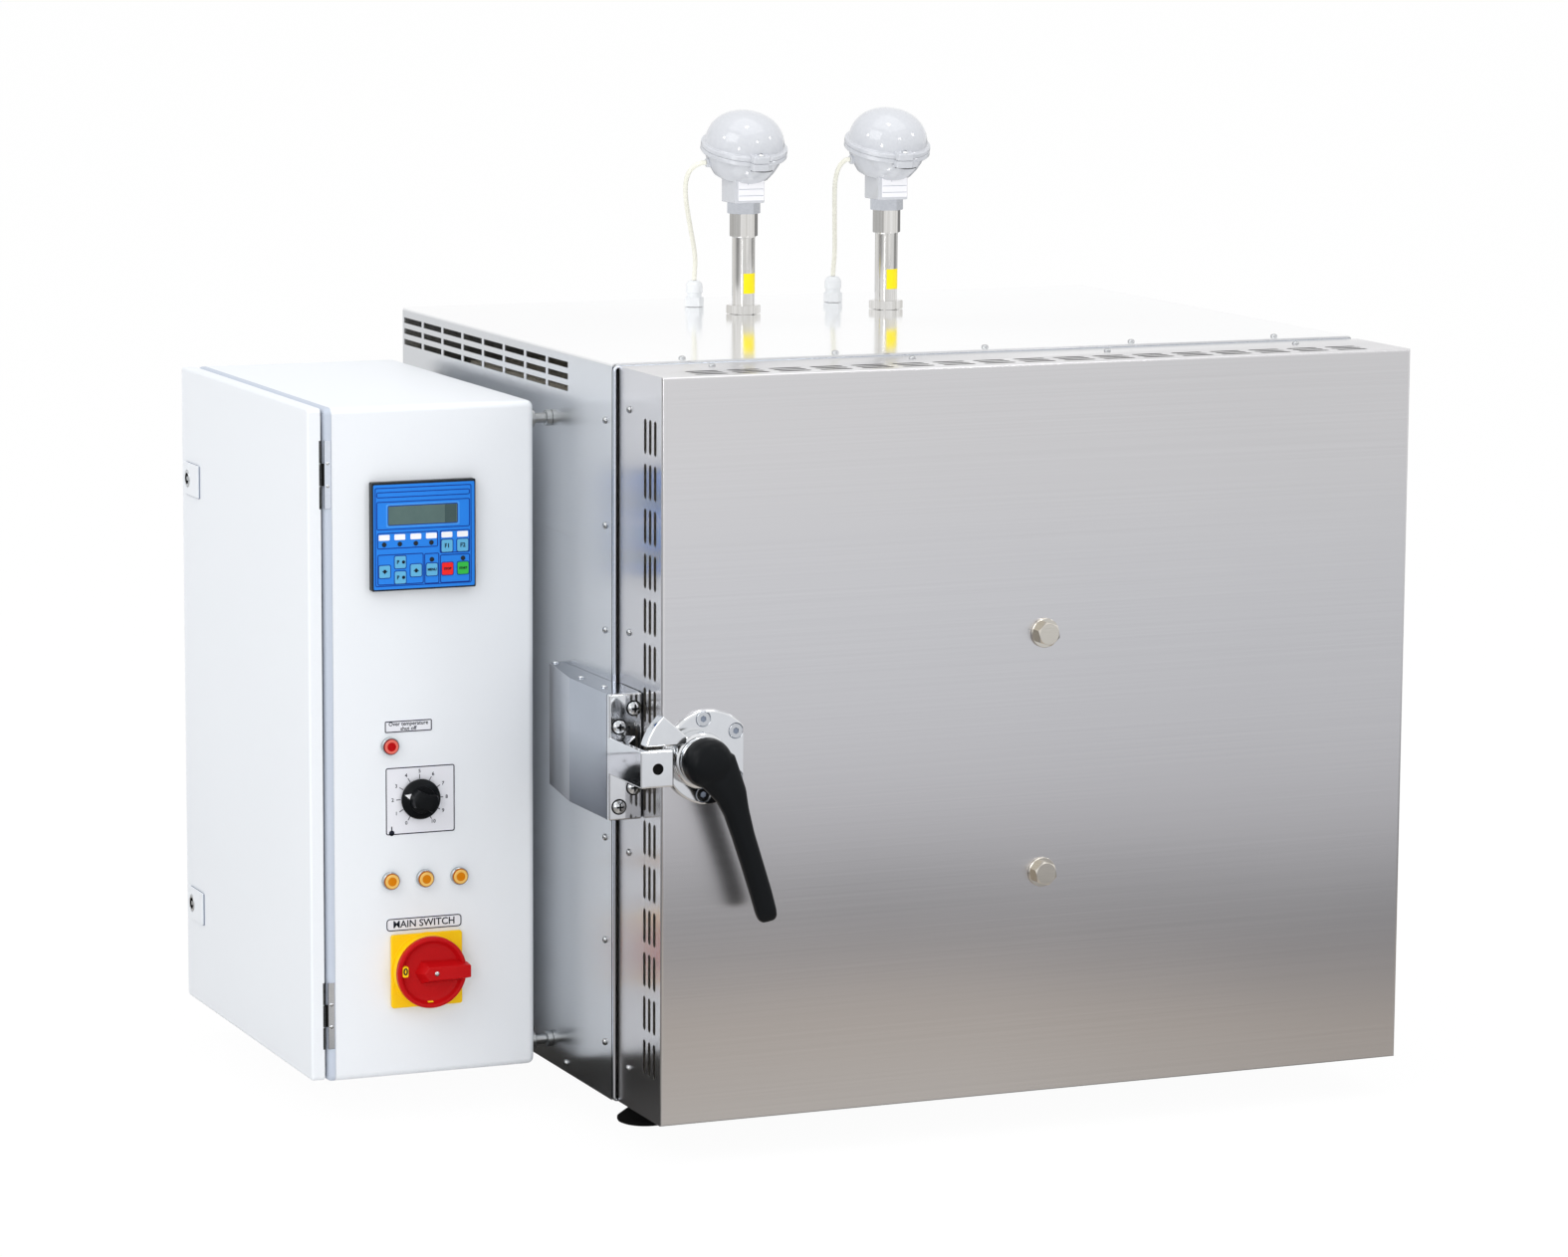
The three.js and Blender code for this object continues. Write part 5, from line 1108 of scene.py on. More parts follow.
    def strike_cover(self) -> Solid:
        """The folded cover on the casing's left wall."""
        out = -self.strike_out
        profile = [(-0.3, 121.0), (-13.0, 121.0), (out, 33.0), (out, -57.0), (3.0, -57.0), (3.0, -3.8),
                   (-0.3, -3.8)]
        obj = cut_out(profile, self.strike_high - self.strike_low)
        settle(obj, (0, 0, self.strike_low))
        edit(obj, "FACE")
        remove_faces(obj, (1, 0, 0), (0, -1, 0))
        close_edit()
        soften(obj, 0.9, 3, 12)
        return thicken(obj, 1.5)

    def strike_bracket(self) -> Solid:
        """Wall plate, front plate, keeper arm and nose."""
        out, inner = -self.strike_out, 3.0
        obj = soften(brick((out, -63.8, self.strike_low), (inner, -57.3, self.strike_high)), 1.6, 4)
        side = soften(brick((-8.3, -60, 303), (-0.3, 85, 402)), 0.5, 2)
        carve(obj, side, Cut.ADD)
        low, high = 338.0, 370.0
        arm = cut_out([(out, -57.3), (inner - 6, -57.3), (inner - 6, -63.8), (out + 6, -95.8),
                       (out + 6, -138.4), (out, -138.4)][::-1], high - low)
        settle(arm, (0, 0, low))
        soften(arm, 1.4, 4)
        carve(obj, arm, Cut.ADD)
        nose = soften(brick((out, -138.4, low), (inner, -127.4, high)), 1.8, 4)
        carve(obj, nose, Cut.ADD)
        hole = settle(turned([(4.9, 0), (4.9, 30)], 32), (out + 15.5, -115, 354.2), Facing.FRONT)
        carve(obj, hole)
        soften(obj, 0.35, 2, 60)
        return obj

    def build(self) -> list[Piece]:
        """All the latch's and the strike's pieces."""
        plate_screws = [((x, self.plate_rear, z), Facing.FRONT) for x, z in self.screw_spots]
        front = [((x, -63.8, z), Facing.FRONT) for x,
                 z in ((-4.4, 394.5), (-18, 379), (-4.6, 325.5), (-18, 309.3))]
        top = [((x, y, self.strike_high), Facing.UP) for x, y in ((-9, 115), (-17, 30), (-16, -24))]
        x, z = self.axis
        spindle = settle(turned([(8, 0), (8, 30)], 32), (x, -112, z), Facing.FRONT)
        return [
            Piece("latch_round_plate", join([self.plate(), spindle]), "door", "polished", CHROME,
                  ("latch_plate",), 30),
            Piece("latch_plate_screws", copies(self.socket_screw(), plate_screws), "door", "polished",
                  BRIGHT_SCREW),
            Piece("latch_plate_sockets", copies(self.socket_floor(), plate_screws), "door", "dark_steel",
                  GREY_SHADE_AND_PRINT),
            Piece("latch_cam_body", self.cam(), "latch", "polished", CHROME, ("latch_cam",), 30),
            Piece("latch_ferrule", self.ferrule(), "latch", "polished", CHROME, (), 30),
            Piece("latch_lever", self.lever(), "latch", "black_plastic", BLACK_LEVER, ("latch_handle",), 60),
            Piece("strike_hood", self.strike_cover(), "oven", "polished", HOOD_STEEL, ("strike_cover",), 6),
            Piece("strike_keeper", self.strike_bracket(), "oven", "polished", CHROME, ("strike_bracket",),
                  30),
            Piece("strike_screws", copies(PanScrew(6.0, 3.4).model(), front), "oven", "polished",
                  BRIGHT_SCREW),
            Piece("strike_recesses", copies(PanScrew(6.0, 3.4).recess(), front), "oven", "dark_steel",
                  BLACK_RUBBER_AND_SHADE),
            # Thin dark discs just wider than the strike's screws: a painted shade line round each head.
            Piece("strike_washers", copies(turned([(6.9, 0), (6.9, 0.35)], 40), front), "oven", "dark_steel",
                  BLACK_RUBBER_AND_SHADE),
            # A dark ring inside the keeper's hole: painted shade.
            Piece("strike_hole_lining", settle(turned([(4.85, 0), (4.85, 1.5)], 32), (-11.5, -133.5, 354.2),
                                               Facing.FRONT),
                  "oven", "dark_steel", BLACK_RUBBER_AND_SHADE),
            Piece("strike_hood_screws", copies(PanScrew(2.8, 1.8).model(), top), "oven", "polished",
                  BRIGHT_SCREW),
        ]


@dataclass
class Cabinet:
    """The control cabinet's shell, cover, hinges, locks and standoffs."""

    right: float = -22.0
    left: float = -210.0
    front: float = 134.0
    rear: float = 514.0
    base: float = 40.0
    top: float = 640.0
    sheet: float = 1.5
    bend: float = 6.0
    flange: float = 12.0
    collar: float = 17.0
    cover_inner: float = -220.0
    cover_outer: float = -232.0
    lock_y: float = 490.0
    lock_heights: Pair = (538.0, 135.0)
    hinge_heights: Pair = (582.0, 100.0)

    def shell(self) -> Solid:
        """The box, with its open side turned in to a flange and a collar."""
        obj = brick((self.left, self.front, self.base), (self.right, self.rear, self.top))
        limit = place(self.left, 0, 0).x + NEAR
        select_edges(obj, lambda a, b: a.x >= limit or b.x >= limit)
        bpy.ops.mesh.bevel(offset=self.bend * MM, segments=6, affect="EDGES")
        bpy.ops.mesh.select_mode(type="FACE")
        select_faces(obj, (-1, 0, 0))
        bpy.ops.mesh.inset(thickness=self.flange * MM)
        extrude(-self.collar, 0, 0)
        bpy.ops.mesh.delete(type="FACE")
        close_edit()
        return thicken(obj, self.sheet)

    def cover(self) -> Solid:
        """The shallow cover with rounded edges and corners."""
        obj = slab(self.rear - self.front, self.top - self.base - 2, self.cover_inner - self.cover_outer, 4,
                   5)
        settle(obj, (self.cover_inner, (self.front + self.rear) / 2, (self.top + self.base) / 2 + 1),
               Facing.LEFT)
        edit(obj, "FACE")
        remove_faces(obj, (1, 0, 0))
        close_edit()
        soften(obj, 2.4, 5, 50)
        return thicken(obj, self.sheet)

    def hinge(self, z: float) -> Solid:
        """The two outer barrels and the pin of one hinge, on the cover."""
        parts = [turned([(2.1, -30), (2.1, -10.2)], 20), turned([(2.1, 10.2), (2.1, 30)], 20),
                 turned([(1.1, -30), (1.1, 30)], 16)]
        return settle(join(parts), (self.cover_inner - 0.7, self.front + 2, z))

    def knuckle(self, z: float) -> Solid:
        """The middle barrel of one hinge, on the cabinet."""
        x, y = self.cover_inner - 0.7, self.front + 2
        barrel = settle(turned([(2.1, -9.8), (2.1, 9.8)], 20), (x, y, z))
        return join([barrel, brick((x, y - 1.5, z - 9.8), (x + 4.6, y - 0.5, z + 9.8))])

    def leaf(self, z: float) -> Solid:
        """The cabinet's leaf of one hinge, an angle along the flange."""
        x, y = self.cover_inner - 0.7, self.front + 2
        face = soften(brick((x + 4.2, y - 2.3, z - 30), (self.left - 0.6, y - 1.1, z + 30)), 0.3, 2)
        return join([face, brick((x + 4.2, y - 2.0, z - 30), (x + 5.3, y + 8, z + 30))])

    def rolled_edge(self) -> Solid:
        """The box's rounded return behind the cover."""
        obj = slab(self.rear - self.front, self.top - self.base, 8.2, self.bend, 6)
        settle(obj, (self.left + 0.2, (self.front + self.rear) / 2, (self.base + self.top) / 2), Facing.LEFT)
        edit(obj, "FACE")
        select_faces(obj, (-1, 0, 0))
        bpy.ops.mesh.bevel(offset=(self.bend - 0.2) * MM, segments=8, affect="EDGES")
        remove_faces(obj, (-1, 0, 0), (1, 0, 0))
        close_edit()
        return thicken(obj, 1.0)

    def lock(self, z: float) -> Solid:
        """A round insert with a double-bit recess, its shaft and its tongue."""
        insert = turned([(8, 0), (8, 3.6), (7.4, 4.4)], 40)
        well = turned([(5.4, 1.2), (5.4, 8)], 32)
        carve(insert, well)
        bit = join([turned([(2.1, 0.8), (2.1, 3.9)], 20), slab(7.4, 1.6, 3.4, 0.4)])
        head = join([insert, bit])
        settle(head, (self.cover_outer + 1.6, self.lock_y, z), Facing.LEFT)
        shaft = settle(turned([(5, 0), (5, 26)], 24), (self.left + 4.8, self.lock_y, z), Facing.LEFT)
        tongue = soften(brick((self.left + 1.8, self.lock_y - 5, z - 18),
                              (self.left + 4.8, self.lock_y + 5, z)), 0.5, 2)
        return join([head, shaft, tongue])

    def lock_hole(self, z: float) -> Solid:
        """The cutter for a lock's hole."""
        return settle(turned([(8.3, -8), (8.3, 12)], 40), (self.cover_outer, self.lock_y, z), Facing.LEFT)

    def lock_well(self, z: float) -> Solid:
        """A dark sleeve in a lock's recess: painted shade."""
        shade_sleeve = turned([(5.38, 0.9), (5.38, 4.3), (4.9, 4.3)], 32)
        carve(shade_sleeve, turned([(4.9, 1.5), (4.9, 8)], 32))
        return settle(shade_sleeve, (self.cover_outer + 1.6, self.lock_y, z), Facing.LEFT)

    def lock_plate(self, z: float) -> Solid:
        """The small raised plate round a lock."""
        plate = soften(slab(44, 30, 2.4, 1.2, 4), 0.4, 2, 60)
        settle(plate, (self.cover_outer, self.lock_y - 11, z), Facing.LEFT)
        return carve(plate, self.lock_hole(z))

    def lock_gasket(self, z: float) -> Solid:
        """A grey sheet a little larger than a lock's plate, under it: a painted shadow line round the plate.
        """
        shadow_rim = settle(slab(44, 30.6, 1.2, 1.8, 4), (self.cover_outer + 0.1, self.lock_y - 11.4, z - 0.3),
                        Facing.LEFT)
        return carve(shadow_rim, self.lock_hole(z))

    def standoff(self) -> Solid:
        """A collar and a rod between the cabinet and the oven."""
        return turned([(7.6, 0), (8, 0.5), (8, 4.6), (7.4, 5.2), (4.6, 5.2), (4.6, 16), (7.2, 16.6),
                       (7.2, 21.4)], 32)

    def build(self) -> list[Piece]:
        """All the cabinet's pieces."""
        cover = self.cover()
        for z in self.lock_heights:
            carve(cover, self.lock_hole(z))
        cover_parts = [cover, *(self.lock_plate(z) for z in self.lock_heights)]
        pins = [self.hinge(z) for z in self.hinge_heights]
        knuckles = [self.knuckle(z) for z in self.hinge_heights]
        leaf_screws = [((self.cover_inner + 6.4, self.front - 0.2, z + s), Facing.FRONT)
                       for z in self.hinge_heights for s in (-10, 10)]
        leaves = [self.leaf(z) for z in self.hinge_heights]
        pieces = [
            Piece("cabinet_box", self.shell(), "oven", "cabinet_paint", CABINET_PAINT, ("cabinet_shell",),
                  30),
            Piece("cabinet_cover", join(cover_parts), "cabinet_cover", "cabinet_paint", CABINET_PAINT,
                  ("cabinet_door",), 30),
            Piece("cabinet_hinge_pins", join(pins), "cabinet_cover", "dark_steel", BLACK_RUBBER_AND_SHADE),
            Piece("cabinet_hinge_knuckles", join(knuckles), "oven", "dark_steel", BLACK_RUBBER_AND_SHADE),
            Piece("cabinet_hinge_leaves", join(leaves), "oven", "zinc", HINGE_STEEL),
            Piece("cabinet_hinge_screws", copies(PanScrew(1.6, 0.8).model(), leaf_screws), "oven", "zinc",
                  CHROME),
            # The rounded return wears a darker blue-grey than the box: painted shade.
            Piece("cabinet_rolled_edge", self.rolled_edge(), "oven", "cabinet_paint", EDGE_SHADE_PAINT, (), 40),
            # Grey sheets under the lock plates: a painted shadow line round each plate.
            Piece("cabinet_lock_gaskets", join([self.lock_gasket(z) for z in self.lock_heights]),
                  "cabinet_cover", "rubber", GREY_SHADE_AND_PRINT),
        ]
        for side, z in zip(("upper", "lower"), self.lock_heights):
            pieces += [Piece(f"lock_{side}_insert", self.lock(z), f"lock_{side}", "zinc", LOCK_PLATE,
                             (f"cabinet_lock_{side}",)),
                       Piece(f"lock_{side}_well", self.lock_well(z), f"lock_{side}", "dark_steel", BLACK_RUBBER_AND_SHADE)]
        for level, z in (("upper", self.top - 18), ("lower", self.base + 18)):
            for side, y in (("front", self.front + 18), ("rear", self.rear - 18)):
                pieces.append(Piece(f"spacer_{level}_{side}",
                                    settle(self.standoff(), (self.right + 0.3, y, z), Facing.RIGHT),
                                    "oven", "zinc", ZINC, (f"standoff_{level}_{side}",)))
        return pieces


@dataclass
class Keypad:
    """The panel controller: case, membrane keypad and display."""

    centre: Pair = (-128.0, 526.0)
    face: float = 133.7
    size: float = 96.0
    proud: float = 8.0
    film: float = 0.25

    def spot(self, s: float, t: float, lift: float = 0.0) -> Point:
        """A place on the face, from its upper left corner in shares of its size."""
        x = self.centre[0] + (s - 0.5) * self.size
        z = self.centre[1] + (0.5 - t) * self.size
        return (x, self.face - self.proud - self.film * lift, z)

    def tile(self, box: Box, lift: float, radius: float = 0.8) -> Solid:
        """A film patch between two corners given in shares."""
        s0, t0, s1, t1 = box
        obj = slab((s1 - s0) * self.size, (t1 - t0) * self.size, self.film, radius, 3)
        return settle(obj, self.spot((s0 + s1) / 2, (t0 + t1) / 2, lift), Facing.FRONT)

    def line(self, box: Box) -> Solid:
        """A printed rounded frame between two corners given in shares."""
        s0, t0, s1, t1 = box
        obj = ring((s1 - s0) * self.size, (t1 - t0) * self.size, 0.75, self.film, 1.6)
        return settle(obj, self.spot((s0 + s1) / 2, (t0 + t1) / 2, 0.6), Facing.FRONT)

    def key(self, s: float, t: float) -> Solid:
        """One soft key, slightly raised."""
        obj = soften(slab(10.2, 10.8, 0.7, 1.3, 4), 0.25, 2, 60)
        return settle(obj, self.spot(s, t, 0.5), Facing.FRONT)

    def key_edge(self, s: float, t: float) -> Solid:
        """The dark outline printed round a key."""
        return settle(ring(11.6, 12.2, 0.9, self.film, 1.8), self.spot(s, t, 0.8), Facing.FRONT)

    def mark(self, text: str, s: float, t: float, height: float) -> Solid:
        """Printed characters on a key."""
        return settle(lettering(text, height, 0.14), self.spot(s, t, 3.5), Facing.FRONT)

    def arrow(self, s: float, t: float, up: bool) -> Solid:
        """A printed arrow head."""
        points = [(-2.7, -0.7), (0.0, 1.9), (2.7, -0.7), (1.1, -0.7), (1.1, -1.8), (-1.1, -1.8),
                  (-1.1, -0.7)][::-1]
        return settle(cut_out(points, 0.15), self.spot(s, t, 3.4), Facing.FRONT, 0 if up else 180)

    def case(self) -> Solid:
        """The bezel and the body behind it."""
        front = soften(slab(self.size, self.size, self.proud, 1.2, 3), 0.5, 3, 60)
        settle(front, (self.centre[0], self.face, self.centre[1]), Facing.FRONT)
        x, z = self.centre
        return join([front, brick((x - 45.5, self.face - 1, z - 45.5), (x + 45.5, self.face + 70, z + 45.5))])

    def build(self) -> list[Piece]:
        """All the controller's pieces."""
        dots = ((0.115, 0.571), (0.265, 0.571), (0.419, 0.571), (0.569, 0.571), (0.573, 0.727),
                (0.874, 0.729))
        lamps = [settle(turned([(2.1, 0), (2.1, 0.3), (1.5, 0.45)], 20), self.spot(s, t, 1),
                        Facing.FRONT) for s, t in dots]
        labels = [self.tile((s - 0.052, t - 0.026, s + 0.052, t + 0.026), 1.2, 0.9)
                  for s, t in ((0.115, 0.507), (0.265, 0.507), (0.419, 0.507), (0.569, 0.507), (0.719, 0.505),
                               (0.87, 0.505))]
        lines = [self.line(box) for box in (
            (0.027, 0.048, 0.957, 0.957), (0.042, 0.088, 0.942, 0.142), (0.042, 0.176, 0.942, 0.437),
            (0.047, 0.463, 0.633, 0.611), (0.65, 0.463, 0.942, 0.674), (0.05, 0.662, 0.493, 0.944),
            (0.5, 0.668, 0.644, 0.95), (0.652, 0.687, 0.942, 0.95))]
        spots = ((0.72, 0.608), (0.871, 0.608), (0.118, 0.82), (0.268, 0.738), (0.268, 0.879), (0.42, 0.82),
                 (0.573, 0.82))
        keys = [self.key(s, t) for s, t in spots]
        lines += [self.key_edge(s, t) for s, t in (*spots, (0.724, 0.82), (0.874, 0.82))]
        lines.append(self.line((0.15, 0.214, 0.827, 0.401)))
        marks = [self.mark("F1", 0.72, 0.608, 5.2), self.mark("F2", 0.871, 0.608, 5.2),
                 self.mark("P", 0.245, 0.738, 4.6), self.mark("P", 0.245, 0.879, 4.6),
                 self.mark("MENU", 0.573, 0.82, 3.0), self.arrow(0.118, 0.82, False),
                 self.arrow(0.42, 0.82, True)]
        marks += [settle(turned([(1.5, 0), (1.5, 0.15)], 16), self.spot(0.298, t, 3.4),
                         Facing.FRONT) for t in (0.738, 0.879)]
        marks += [self.mark("STOP", 0.724, 0.82, 2.8), self.mark("START", 0.874, 0.82, 2.5)]
        rows = [("controller_case", self.case(), BLACK_CASE, ("controller",)),
                ("keypad_film", self.tile((0.014, 0.022, 0.986, 0.984), 0.0, 1.0), KEYPAD, ()),
                ("keypad_frame", self.tile((0.135, 0.2, 0.842, 0.415), 0.5, 1.4), KEYPAD_PALE, ()),
                ("keypad_display", self.tile((0.157, 0.222, 0.82, 0.393), 1.0, 0.8), DISPLAY, ()),
                ("keypad_display_shade", self.tile((0.7, 0.224, 0.812, 0.391), 1.3, 0.6), DISPLAY_DARK, ()),
                ("keypad_lines", join(lines), KEY_LINE, ()), ("keypad_labels", join(labels), WHITE, ()),
                ("keypad_lamps", join(lamps), LAMP_DARK, ()), ("keypad_keys", join(keys), KEY, ()),
                ("keypad_stop_key", self.key(0.724, 0.82), KEY_RED, ()),
                ("keypad_start_key", self.key(0.874, 0.82), KEY_GREEN, ()),
                ("keypad_marks", join(marks), BLACK_INK, ())]
        return [Piece(name, obj, "oven", "black_plastic", finish, nodes) for name, obj, finish, nodes in rows]


@dataclass
class FrontPanel:
    """Labels, lamps, temperature dial and main switch on the cabinet's front."""

    face: float = 134.0
    dial: Pair = (-130.5, 290.02)
    switch: Pair = (-125.5, 135.82)
    alarm: Pair = (-158.4, 338.98)
    lamps: tuple[Pair, ...] = ((-158.4, 218.02), (-126.4, 218.02), (-94.4, 218.02))
    setting: float = 2.6
    film: float = 0.4

    def plate(self, box: Box, radius: float) -> list[Solid]:
        """A film label with its printed border."""
        x0, z0, x1, z1 = box
        at = ((x0 + x1) / 2, self.face - 0.02, (z0 + z1) / 2)
        film = settle(slab(x1 - x0, z1 - z0, self.film, radius, 4), at, Facing.FRONT)
        edge = settle(ring(x1 - x0 - 0.8, z1 - z0 - 0.8, 0.9, 0.15, max(radius - 0.4, 0.8)),
                      (at[0], self.face - self.film, at[2]), Facing.FRONT)
        return [film, edge]

    def text(self, words: str, x: float, z: float, height: float) -> Solid:
        """Printed words at a place on the front."""
        at = (x, self.face - self.film - 0.08, z)
        return settle(lettering(words, height, height * 0.014), at, Facing.FRONT)

    def lamp(self, at: Pair) -> tuple[Solid, ...]:
        """The bezel, the lens's rim, its bright ring and its middle; the rim and middle wear darker copies of
        the lens colour, a painted shade on the domed lens.
        """
        x, z = at
        bezel = turned([(7.9, 0), (8.0, 0.4), (7.9, 4.4), (7.5, 4.9), (7.1, 4.9)], 48)
        rim = turned([(7.1, 1), (7.1, 5.3), (6.8, 6.0), (6.2, 6.3)], 48)
        lens = turned([(6.3, 2), (6.3, 6.4), (5.8, 6.9), (4.6, 6.9), (4.0, 6.6)], 48)
        core = turned([(4.0, 4), (4.0, 6.7), (2.4, 6.85)], 32)
        return tuple(settle(part, (x, self.face - 0.3, z), Facing.FRONT) for part in (bezel, rim, lens, core))

    def dial_marks(self) -> list[Solid]:
        """Ticks and figures from 0 to 10, and a small thermometer."""
        x, z = self.dial
        marks = []
        for n in range(11):
            angle = math.radians(240 - 30 * n)
            tick = slab(0.65, 4.2, 0.15, 0)
            marks.append(settle(tick, (x + math.cos(angle) * 19.8, self.face - 0.4,
                                       z + math.sin(angle) * 19.8), Facing.FRONT, 150 - 30 * n))
            marks.append(self.text(str(n), x + math.cos(angle) * 25.2, z + math.sin(angle) * 24.6, 4.5))
        bulb = settle(turned([(2.5, 0), (2.5, 0.15)], 24), (x - 26.2, self.face - self.film, z - 29.6),
                      Facing.FRONT)
        stem = settle(slab(1.0, 4.4, 0.15, 0.3), (x - 26.2, self.face - self.film, z - 25.8), Facing.FRONT)
        return [*marks, bulb, stem]

    def knob(self) -> Solid:
        """A skirted knob with a waisted grip."""
        skirt = turned([(17.6, 0), (18.0, 0.6), (18.0, 2.6), (16.8, 4.2), (12.2, 6.4), (11.8, 8)], 64)
        grip = turned([(11.9, 6), (11.6, 16), (10.8, 18.2), (8.6, 19.4), (4, 20.0)], 64)
        for side in (-1, 1):
            carve(grip, local(turned([(26, 7), (26, 30)], 64), (0, side * 32.5, 0)))
        soften(grip, 0.8, 3, 40)
        shaft = turned([(3, -14), (3, 1)], 20)
        angle = 150 - 30 * self.setting
        return settle(join([skirt, grip, shaft]), (self.dial[0], self.face - 2.3, self.dial[1]), Facing.FRONT,
                      angle + 90)

    def pointer(self) -> Solid:
        """The white arrow head on the knob's skirt."""
        obj = cut_out([(8.6, -3.9), (17.6, 0.0), (8.6, 3.9)], 0.4)
        turn = 240 - 30 * self.setting
        return settle(obj, (self.dial[0], self.face - 2.3 - 6.4, self.dial[1]), Facing.FRONT, turn)

    def switch_plate(self) -> Solid:
        """The yellow plate with the round step that carries the handle."""
        plate = soften(slab(66, 66, 4, 2.2, 4), 0.6, 3, 60)
        step = turned([(32.4, 3.5), (32.2, 11), (31.4, 12)], 96)
        arc = turned([(34.0, 3.5), (34.0, 4.6), (33.2, 5.0)], 96)
        return settle(join([plate, step, arc]), (self.switch[0], self.face - 0.3, self.switch[1]),
                      Facing.FRONT)

    def handle(self) -> Solid:
        """The red dished disc with its pointed bar grip."""
        disc = turned([(31.4, 0), (32.2, 0.8), (32.2, 5.4), (31.5, 6.6), (30.2, 7.0), (28.9, 6.7),
                       (28.0, 5.8), (26.8, 3.4), (25.4, 2.4), (22, 2.0)], 96)
        low = [(-15.6, 0), (-9.8, -10.8), (24, -9.8), (34.2, -6.6), (34.2, 6.6), (24, 9.8), (-9.8, 10.8)]
        high = [(-9.2, 0), (-4.6, -5.9), (24, -5.8), (34.2, -5.5), (34.2, 5.5), (24, 5.8), (-4.6, 5.9)]
        grip = soften(loft(low, 1.0, high, 12.4), 0.8, 3, 25)
        return settle(join([disc, grip]), (self.switch[0], self.face - 12.6, self.switch[1]), Facing.FRONT)

    def switch_window(self) -> tuple[Solid, Solid]:
        """The yellow window at the handle's left with its nought, and a dash at its foot."""
        x, z = self.switch
        front = self.face - 12.6
        window = settle(slab(5.2, 9.6, 4.9, 1.4, 4), (x - 25.4, front - 2.0, z + 2.6), Facing.FRONT)
        dash = settle(slab(5.0, 1.0, 3.4, 0.4, 3), (x - 1.5, front - 2.0, z - 26.4), Facing.FRONT)
        nought = settle(lettering("0", 8.6, 0.25), (x - 25.4, front - 7.0, z + 2.6), Facing.FRONT)
        return join([window, dash]), nought

    def switch_screw(self) -> Solid:
        """The small screw in the grip's face."""
        return settle(PanScrew(2.2, 1.0).model(), (self.switch[0] + 2, self.face - 24.9, self.switch[1]),
                      Facing.FRONT)

    def build(self) -> list[Piece]:
        """All the front's pieces."""
        window, nought = self.switch_window()
        upper, upper_edge = self.plate((-163, 350.2, -118.5, 361.2), 1.6)
        lower, lower_edge = self.plate((-162.5, 171.6, -91.5, 183.6), 3.6)
        dial, dial_edge = self.plate((-162.5, 258.4, -97.5, 319.4), 2.4)
        ink = [upper_edge, lower_edge, dial_edge, *self.dial_marks(),
               self.text("MAIN SWITCH", -127, 177.6, 8.9),
               self.text("Over temperature", -140.7, 358.0, 4.9), self.text("shut off", -140.7, 353.6, 4.9)]
        pieces = [Piece("panel_labels", join([upper, lower, dial]), "oven", "cabinet_paint", LABEL),
                  Piece("panel_print", join(ink), "oven", "black_plastic", INK),
                  Piece("dial_knob", self.knob(), "knob", "black_plastic", BLACK_LEVER,
                        ("temperature_knob",)),
                  Piece("dial_pointer", self.pointer(), "knob", "white_plastic", WHITE),
                  Piece("switch_base", self.switch_plate(), "oven", "yellow_plastic", YELLOW,
                        ("switch_plate",)),
                  Piece("switch_grip", self.handle(), "main_switch", "red_plastic", RED,
                        ("switch_handle",), 30),
                  Piece("switch_screw", self.switch_screw(), "main_switch", "polished", CHROME),
                  Piece("switch_window", window, "main_switch", "yellow_plastic", YELLOW),
                  Piece("switch_window_mark", nought, "main_switch", "black_plastic", BLACK_INK)]
        sets = [("alarm_lamp", self.alarm, RED_SHADED_RIM, RED_LENS, RED_SHADED_MIDDLE, "red_lens")]
        sets += [(f"pilot_lamp_{i + 1}", at, AMBER_SHADED_RIM, AMBER, AMBER_SHADED_MIDDLE, "amber_lens")
                 for i, at in enumerate(self.lamps)]
        for name, at, edge, outer, inner, slot in sets:
            bezel, rim, lens, core = self.lamp(at)
            pieces += [Piece(f"{name}_bezel", bezel, "oven", "polished", BEZEL, (name,)),
                       Piece(f"{name}_rim", rim, "oven", slot, edge),
                       Piece(f"{name}_lens", lens, "oven", slot, outer),
                       Piece(f"{name}_middle", core, "oven", slot, inner)]
        return pieces


